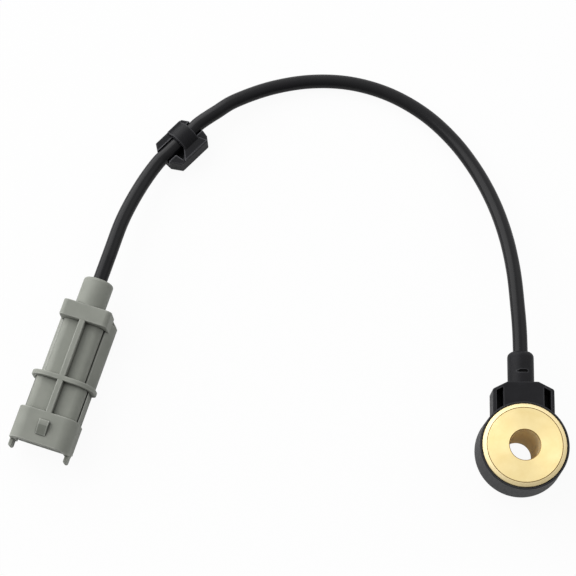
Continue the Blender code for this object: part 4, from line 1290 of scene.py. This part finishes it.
    def openings(self) -> list[Piece]:
        """What is cut out: the mouth, the cut-back under it, the wires' room, slots and passage.

        Returns:
            The cutting tools.
        """
        bottom = self.top - self.shroud_height
        side = self.shroud_width / 2 + OVERRUN
        front = -self.shroud_length - OVERRUN
        corner = self.shroud_rounding - self.wall
        foot_corner = self.shroud_foot_rounding - self.wall
        width = self.shroud_width - 2 * self.wall
        mouth = rounded_rectangle(
            width, bottom + self.wall, self.top - self.wall, corner, foot_corner)
        back = (side, self.cutback - self.shroud_length, bottom + self.cutback_height)
        room = rounded_rectangle(
            self.room_width, self.room_low, self.room_high, self.collar_rounding)
        place = self.placement
        tools = [
            prism("mouth", mouth, front, self.mouth_floor, place, Along.Y),
            block("cutback", (-side, front, -OVERRUN), back, place),
            prism("wire_room", room, self.room_start, self.room_end, place, Along.Y)]
        for index in (-1, 0, 1):
            x = index * self.pitch
            wide, high = self.slot_half
            low = (x - wide, self.mouth_floor - OVERRUN, self.terminal_height - high)
            top = (x + wide, self.slot_end, self.terminal_height + high)
            tools.append(block(f"slot_{index + 2}", low, top, place))
        start, end = self.room_end - OVERRUN, self.boot_end + OVERRUN
        axis, facets = self.boot_axis, PASSAGE_FACETS
        return [*tools, rod("passage", self.passage_radius, start, end, axis, GREY_PLASTIC, facets)]

    def build(self) -> Piece:
        """Makes and dresses the housing.

        Returns:
            The piece.
        """
        bottom, start = self.top - self.shroud_height, -self.shroud_length
        shroud = rounded_rectangle(
            self.shroud_width, bottom, self.top, self.shroud_rounding, self.shroud_foot_rounding)
        made = prism("plug_housing", shroud, start, 0.0, self.placement, Along.Y, self.rounding)
        root = self.collar_start + self.collar_length / 2
        profile = round_ended_profile(self.boot_radius, root, self.boot_end, self.boot_rounding)
        boot = turned("boot", profile, self.boot_axis, GREY_PLASTIC, on_axis=True)
        added = [*self.barrel(), self.slide_plate(), self.flanks(), boot, *self.ears(), self.nub()]
        work(made, Join.FUSE, *added)
        work(made, Join.CARVE, *self.openings(), *self.seams())
        # The ramp's faces take the darker finish, which is painted shade.
        for face in made.data.polygons:
            face.material_index = int(self.on_ramp(face.center))
        return dress(made, [GREY_PLASTIC, SHADED_RAMP_PLASTIC], ["connector_housing"])


@dataclass
class PlugTerminals:
    """The three blades with their crimp barrels: one shape, repeated at the pitch."""

    housing: PlugHousing
    count: int = 3
    blade_width: float = 0.0015
    blade_thickness: float = 0.0008
    tip: float = -0.0052
    tip_taper: float = 0.0006
    barrel_radius: float = 0.00105
    barrel_wall: float = 0.0003
    barrel_start: float = 0.0039
    barrel_length: float = 0.0036
    barrel_head: float = 0.0006
    edge: float = 0.0001

    def row_tree(self) -> Tree:
        """The tree that repeats a terminal along X.

        Returns:
            The tree. Its inputs are the terminal, Count, Pitch and Material.
        """
        named = {"Terminal": "Geometry", "Count": "Int", "Pitch": "Float", "Material": "Material"}
        tree, given = new_tree("row_of_terminals", named)
        gaps = add_node(tree, "ShaderNodeMath", {"operation": "SUBTRACT"}, {
            0: given["Count"], 1: 1.0})
        reach = add_node(tree, "ShaderNodeMath", {"operation": "MULTIPLY"}, {
            0: gaps, 1: given["Pitch"]})
        first = add_node(tree, "ShaderNodeMath", {"operation": "MULTIPLY"}, {0: reach, 1: -0.5})
        start = add_node(tree, "ShaderNodeCombineXYZ", inputs={"X": first})
        step = add_node(tree, "ShaderNodeCombineXYZ", inputs={"X": given["Pitch"]})
        line = add_node(tree, "GeometryNodeMeshLine", inputs={
            "Count": given["Count"], "Start Location": start, "Offset": step})
        copies = add_node(tree, "GeometryNodeInstanceOnPoints", inputs={
            "Points": line, "Instance": given["Terminal"]})
        return end_tree(tree, copies.outputs[0], given["Material"])

    def build(self) -> Piece:
        """Makes and dresses the row of terminals.

        Returns:
            The piece.
        """
        half, taper = self.blade_width / 2, self.tip_taper
        root = self.barrel_start + self.barrel_head / 2
        outline = mirrored(((half, root), (half, self.tip + taper), (half - taper / 2, self.tip)))
        level = Matrix.Identity(4)
        thick = self.blade_thickness / 2
        made = prism("plug_terminals", outline, -thick, thick, level, rounding=self.edge)
        outer, inner = self.barrel_radius, self.barrel_radius - self.barrel_wall
        start = self.barrel_start
        head, end = start + self.barrel_head, start + self.barrel_length
        profile = (
            (0.0, head), (inner, head), (inner, end), (outer, end), (outer, start), (0.0, start))
        barrel = turned("barrel", profile, TURN_TO_Y, TINNED, CRIMP_FACETS, on_axis=True)
        work(made, Join.FUSE, barrel)
        values = {"Count": self.count, "Pitch": self.housing.pitch, "Material": TINNED.material()}
        grow(made, self.row_tree(), values)
        lift = Matrix.Translation((0.0, 0.0, self.housing.terminal_height))
        made.data.transform(self.housing.placement @ lift)
        nodes = ["signal_terminal", "ground_terminal", "shield_terminal"]
        return dress(made, [TINNED], nodes)


@dataclass
class DrainStrands:
    """The shield's drain in the housing: a bunch of tinned strands twisted round their path."""

    housing: PlugHousing
    bunch_radius: float = 0.00032
    strand_radius: float = 0.00016
    strands: int = 6
    twists: float = 7.0
    ring_radius: float = 0.0007
    ring_angle: float = 30.0
    fan_end: float = 0.0185
    strip_end: float = 0.0078
    inner_end: float = 0.0048
    boot_inset: float = 0.0003
    steps: int = 12
    sweep_points: int = 120
    strand_sides: int = 8

    def path(self) -> list[Vector]:
        """The drain's route, from the boot's end into its crimp barrel.

        Returns:
            Points in the connector's own frame.
        """
        home = self.housing
        angle = math.radians(self.ring_angle)
        x = self.ring_radius * math.cos(angle)
        z = home.boot_height + self.ring_radius * math.sin(angle)
        points = [Vector((x, home.boot_end - self.boot_inset, z)), Vector((x, home.room_end, z))]
        for step in range(1, self.steps + 1):
            share = step / self.steps
            ease = share * share * (3.0 - 2.0 * share)
            y = home.room_end + (self.fan_end - home.room_end) * share
            sunk = z + (home.terminal_height - z) * ease
            points.append(Vector((x + (home.pitch - x) * ease, y, sunk)))
        for y in (self.strip_end, self.inner_end):
            points.append(Vector((home.pitch, y, home.terminal_height)))
        return points

    def twist_tree(self) -> Tree:
        """The tree that runs a turning bunch of round strands along a path.

        Returns:
            The tree. Its inputs are the path, Strands, Bunch radius, Strand radius, Twists and
            Material.
        """
        sizes = dict.fromkeys(("Bunch radius", "Strand radius", "Twists"), "Float")
        named = {"Path": "Geometry", "Strands": "Int", **sizes, "Material": "Material"}
        tree, given = new_tree("twisted_strands", named)
        along = add_node(tree, "GeometryNodeMeshToCurve", inputs={0: given["Path"]})
        even = add_node(tree, "GeometryNodeResampleCurve", inputs={
            "Curve": along, "Count": self.sweep_points})
        share = add_node(tree, "GeometryNodeSplineParameter").outputs["Factor"]
        turns = add_node(tree, "ShaderNodeMath", {"operation": "MULTIPLY"}, {
            0: share, 1: given["Twists"]})
        angle = add_node(tree, "ShaderNodeMath", {"operation": "MULTIPLY"}, {0: turns, 1: math.tau})
        tilted = add_node(tree, "GeometryNodeSetCurveTilt", inputs={"Curve": even, "Tilt": angle})
        ring = add_node(tree, "GeometryNodeCurvePrimitiveCircle", inputs={
            "Resolution": given["Strands"], "Radius": given["Bunch radius"]})
        strand = add_node(tree, "GeometryNodeCurvePrimitiveCircle", inputs={
            "Resolution": self.strand_sides, "Radius": given["Strand radius"]})
        copies = add_node(tree, "GeometryNodeInstanceOnPoints", inputs={
            "Points": ring, "Instance": strand})
        bunch = add_node(tree, "GeometryNodeRealizeInstances", inputs={0: copies})
        swept = add_node(tree, "GeometryNodeCurveToMesh", inputs={
            "Curve": tilted, "Profile Curve": bunch, "Fill Caps": True})
        return end_tree(tree, swept.outputs[0], given["Material"])

    def build(self) -> Piece:
        """Makes and dresses the drain.

        Returns:
            The piece.
        """
        points = self.path()
        mesh = bpy.data.meshes.new("shield_drain")
        mesh.from_pydata(points, [(i, i + 1) for i in range(len(points) - 1)], [])
        made = new_object("shield_drain", mesh)
        values = {
            "Strands": self.strands, "Bunch radius": self.bunch_radius,
            "Strand radius": self.strand_radius, "Twists": self.twists,
            "Material": STRANDS.material()}
        grow(made, self.twist_tree(), values)
        made.data.transform(self.housing.placement)
        return dress(made, [STRANDS], ["shield_drain_plug_end"])


@dataclass
class Lead:
    """The black round lead from the head's neck to the connector's boot."""

    diameter: float = 0.0042
    entry: float = 0.0008
    steps: int = 10
    route: tuple[Point3, ...] = (
        (0.0000, 0.0203, 0.0135), (-0.00010, 0.0260, 0.0135), (-0.00045, 0.0325, 0.0133),
        (-0.00130, 0.0440, 0.0121), (-0.00310, 0.0556, 0.0095), (-0.00625, 0.0668, 0.0067),
        (-0.01105, 0.0775, 0.0044), (-0.01765, 0.0874, 0.0029), (-0.02615, 0.0957, 0.0023),
        (-0.03655, 0.1018, 0.0022), (-0.04805, 0.1051, 0.0022), (-0.05995, 0.1054, 0.0023),
        (-0.07165, 0.1028, 0.0031), (-0.08215, 0.0981, 0.0043), (-0.08783, 0.09405, 0.0049),
        (-0.09273, 0.09037, 0.0050), (-0.09548, 0.08745, 0.0050), (-0.10164, 0.08091, 0.0050),
        (-0.10439, 0.07799, 0.0050), (-0.10795, 0.0723, 0.0056), (-0.11135, 0.0653, 0.0068),
        (-0.11425, 0.0578, 0.0080), (-0.11686, 0.04869, 0.0088), (-0.11816, 0.04438, 0.0088),
        (-0.11946, 0.04007, 0.0088))

    def centreline(self) -> list[Vector]:
        """A smooth curve through the route's points, run a little way into the neck and the boot.

        Returns:
            Its points.
        """
        knots = [Vector(point) for point in self.route]
        ends = [2 * knots[0] - knots[1], *knots, 2 * knots[-1] - knots[-2]]
        line = [knots[0] + (knots[0] - knots[1]).normalized() * self.entry]
        for a, b, c, d in zip(ends, ends[1:], ends[2:], ends[3:]):
            for step in range(self.steps):
                t = step / self.steps
                bend, swing = 2 * a - 5 * b + 4 * c - d, 3 * b - a - 3 * c + d
                line.append(0.5 * (2 * b + (c - a) * t + bend * t**2 + swing * t**3))
        line.append(knots[-1])
        line.append(knots[-1] + (knots[-1] - knots[-2]).normalized() * self.entry)
        return line

    def build(self, going_with: Sequence[Piece]) -> Piece:
        """Args:
            going_with: the pieces on the lead; not used.

        Returns:
            The curve object.
        """
        line = self.centreline()
        curve = bpy.data.curves.new("lead", "CURVE")
        curve.dimensions = "3D"
        curve.bevel_depth = self.diameter / 2
        curve.bevel_resolution = 7
        curve.use_fill_caps = True
        spline = curve.splines.new("POLY")
        spline.points.add(len(line) - 1)
        for point, place in zip(spline.points, line):
            point.co = (*place, 1.0)
        spline.use_smooth = True
        curve.materials.append(JACKET.material())
        made = new_object("lead", curve)
        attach(made, BODY)
        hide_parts("cable")
        return made


@dataclass
class InnerParts:
    """The CAD nodes that keep their shape: the stack on the sleeve, its joints and the cores."""

    finishes: tuple[tuple[Finish, tuple[str, ...]], ...] = (
        (FILM, ("insulating_sleeve", "flange_insulator", "mass_insulator")),
        (TINNED, ("signal_contact_ring", "ground_contact_ring", "signal_crimp", "ground_crimp")),
        (CERAMIC, ("piezo_ring",)), (STEEL, ("seismic_mass", "disc_spring", "retaining_nut")),
        (LACQUER, ("shunt_resistor",)),
        (WHITE_CORE, ("signal_core_head_end", "signal_core_plug_end")),
        (BLACK_CORE, ("ground_core_head_end", "ground_core_plug_end")))

    def build(self) -> None:
        """Gives each kept node its finish."""
        for finish, names in self.finishes:
            for name in names:
                node = frame["nodes"][name]
                node.data.materials.clear()
                node.data.materials.append(finish.material())
            LOG.info("%s: %s", finish.name, ", ".join(names))


@dataclass
class Studio:
    """The pale floor, the soft light and the camera where the photograph was taken."""

    camera_place: Point3 = (-0.062902, -0.097553, 0.484415)
    camera_tilt: float = 16.0143
    camera_turn: float = 1.1
    lens: float = 108.04
    target: Point3 = (-0.065, 0.035, 0.0)
    world_light: float = 0.46
    window_side: Point3 = (-0.35, 0.93, 0.0)
    window_far: float = 0.35
    window_near: float = 1.60
    floor_size: float = 3.0
    glow_seen: float = 0.94
    glow_mirrored: float = 0.25
    floor_drop: float = 0.0001
    lamps: tuple[tuple[str, Point3, float, float], ...] = (
        ("key_from_the_upper_left", (-0.78, 0.53, 0.52), 1.40, 12.0),
        ("fill_from_the_upper_right", (0.66, 0.30, 0.62), 0.80, 1.0))

    def camera(self) -> None:
        """Puts the camera at the photograph's viewpoint."""
        data = bpy.data.cameras.new("camera")
        data.sensor_width = 36.0
        data.lens = self.lens
        data.clip_start = 0.01
        made = new_object("camera", data)
        made.location = self.camera_place
        made.rotation_euler = (math.radians(self.camera_tilt), 0.0, math.radians(self.camera_turn))
        bpy.context.scene.camera = made

    def lamp(self, name: str, place: Point3, size: float, power: float) -> None:
        """A soft square lamp that faces the object.

        Args:
            name: the lamp's name.
            place: where it hangs.
            size: the length of its side.
            power: its power in watts.
        """
        data = bpy.data.lights.new(name, "AREA")
        data.size = size
        data.energy = power
        made = new_object(name, data)
        made.location = place
        aim = Vector(self.target) - Vector(place)
        made.rotation_euler = aim.to_track_quat("-Z", "Y").to_euler()

    def seen(self, tree: Tree, camera: float, mirrors: float) -> Socket:
        """A value for what the camera sees, another for reflections and transmission, else 0.

        Args:
            tree: the tree that gets the nodes.
            camera: the value for the camera.
            mirrors: the value for reflections and transmission.

        Returns:
            The value's socket.
        """
        path = add_node(tree, "ShaderNodeLightPath").outputs
        mirrored = add_node(tree, "ShaderNodeMath", {"operation": "MAXIMUM"}, {
            0: path["Is Glossy Ray"], 1: path["Is Transmission Ray"]})
        through = add_node(tree, "ShaderNodeMath", {"operation": "MULTIPLY"}, {
            0: mirrored, 1: mirrors})
        straight = add_node(tree, "ShaderNodeMath", {"operation": "MULTIPLY"}, {
            0: path["Is Camera Ray"], 1: camera})
        both = add_node(tree, "ShaderNodeMath", {"operation": "MAXIMUM"}, {0: straight, 1: through})
        return both.outputs[0]

    def world(self) -> None:
        """A surround that the camera sees as white, and that lights more from the window's side."""
        made = bpy.data.worlds.new("white_room")
        made.use_nodes = True
        tree = made.node_tree
        heading = add_node(tree, "ShaderNodeVectorMath", {"operation": "DOT_PRODUCT"}, {
            0: add_node(tree, "ShaderNodeTexCoord").outputs["Object"], 1: self.window_side})
        window = add_node(tree, "ShaderNodeMapRange", inputs={
            "Value": heading.outputs["Value"], "From Min": -1.0, "To Min": self.window_far,
            "To Max": self.window_near})
        plain = add_node(tree, "ShaderNodeMapRange", inputs={
            "Value": self.seen(tree, 1.0, 1.0), "To Min": self.world_light, "To Max": 1.0})
        camera = add_node(tree, "ShaderNodeLightPath").outputs["Is Camera Ray"]
        uneven = add_node(tree, "ShaderNodeMix", inputs={0: camera, 2: window, 3: 1.0})
        strength = add_node(tree, "ShaderNodeMath", {"operation": "MULTIPLY"}, {
            0: plain, 1: uneven})
        background = tree.nodes["Background"]
        background.inputs["Color"].default_value = srgb("#FFFFFF")
        tree.links.new(strength.outputs[0], background.inputs["Strength"])
        bpy.context.scene.world = made

    def floor(self) -> None:
        """A pale floor that keeps a soft shadow and is seen as white."""
        half = self.floor_size / 2
        mesh = bpy.data.meshes.new("floor")
        corners = [(-half, -half), (half, -half), (half, half), (-half, half)]
        mesh.from_pydata([(x, y, -self.floor_drop) for x, y in corners], [], [(0, 1, 2, 3)])
        made = bpy.data.materials.new("white_card")
        made.use_nodes = True
        tree = made.node_tree
        card = tree.nodes["Principled BSDF"]
        tone = add_node(tree, "ShaderNodeMix", {"data_type": "RGBA"}, {
            0: self.seen(tree, 1.0, 1.0), 6: srgb("#EEEEEE"), 7: srgb("#FAFAFA")})
        tree.links.new(tone.outputs[2], card.inputs["Base Color"])
        card.inputs["Roughness"].default_value = 0.9
        card.inputs["Specular IOR Level"].default_value = 0.0
        glow = add_node(tree, "ShaderNodeEmission", inputs={
            "Color": srgb("#FFFFFF"), "Strength": 1.0})
        mixed = add_node(tree, "ShaderNodeMixShader", inputs={
            0: self.seen(tree, self.glow_seen, self.glow_mirrored), 1: card, 2: glow})
        tree.links.new(mixed.outputs[0], tree.nodes["Material Output"].inputs["Surface"])
        mesh.materials.append(made)
        new_object("floor", mesh)

    def build(self) -> None:
        """Sets up the whole studio."""
        self.camera()
        self.world()
        self.floor()
        for name, place, size, power in self.lamps:
            self.lamp(name, place, size, power)
        bpy.context.scene.view_settings.view_transform = "Standard"
        LOG.info("studio ready")


def main() -> None:
    """Builds the studio and every piece in order."""
    logging.basicConfig(level=logging.INFO, format="%(name)s: %(message)s")
    framed = {*frame["bodies"].values(), *frame["nodes"].values()}
    for stray in [item for item in bpy.data.objects if item not in framed]:
        bpy.data.objects.remove(stray, do_unlink=True)
    Studio().build()
    housing = PlugHousing()
    on_lead = [LeadClip().build(), housing.build(), PlugTerminals(housing).build()]
    on_lead.append(DrainStrands(housing).build())
    on_lead += [frame["nodes"][name] for name in ("signal_core_plug_end", "ground_core_plug_end")]
    Lead().build(on_lead)
    BrassSleeve().build()
    HeadBody().build()
    InnerParts().build()


if __name__ == "__main__":
    main()
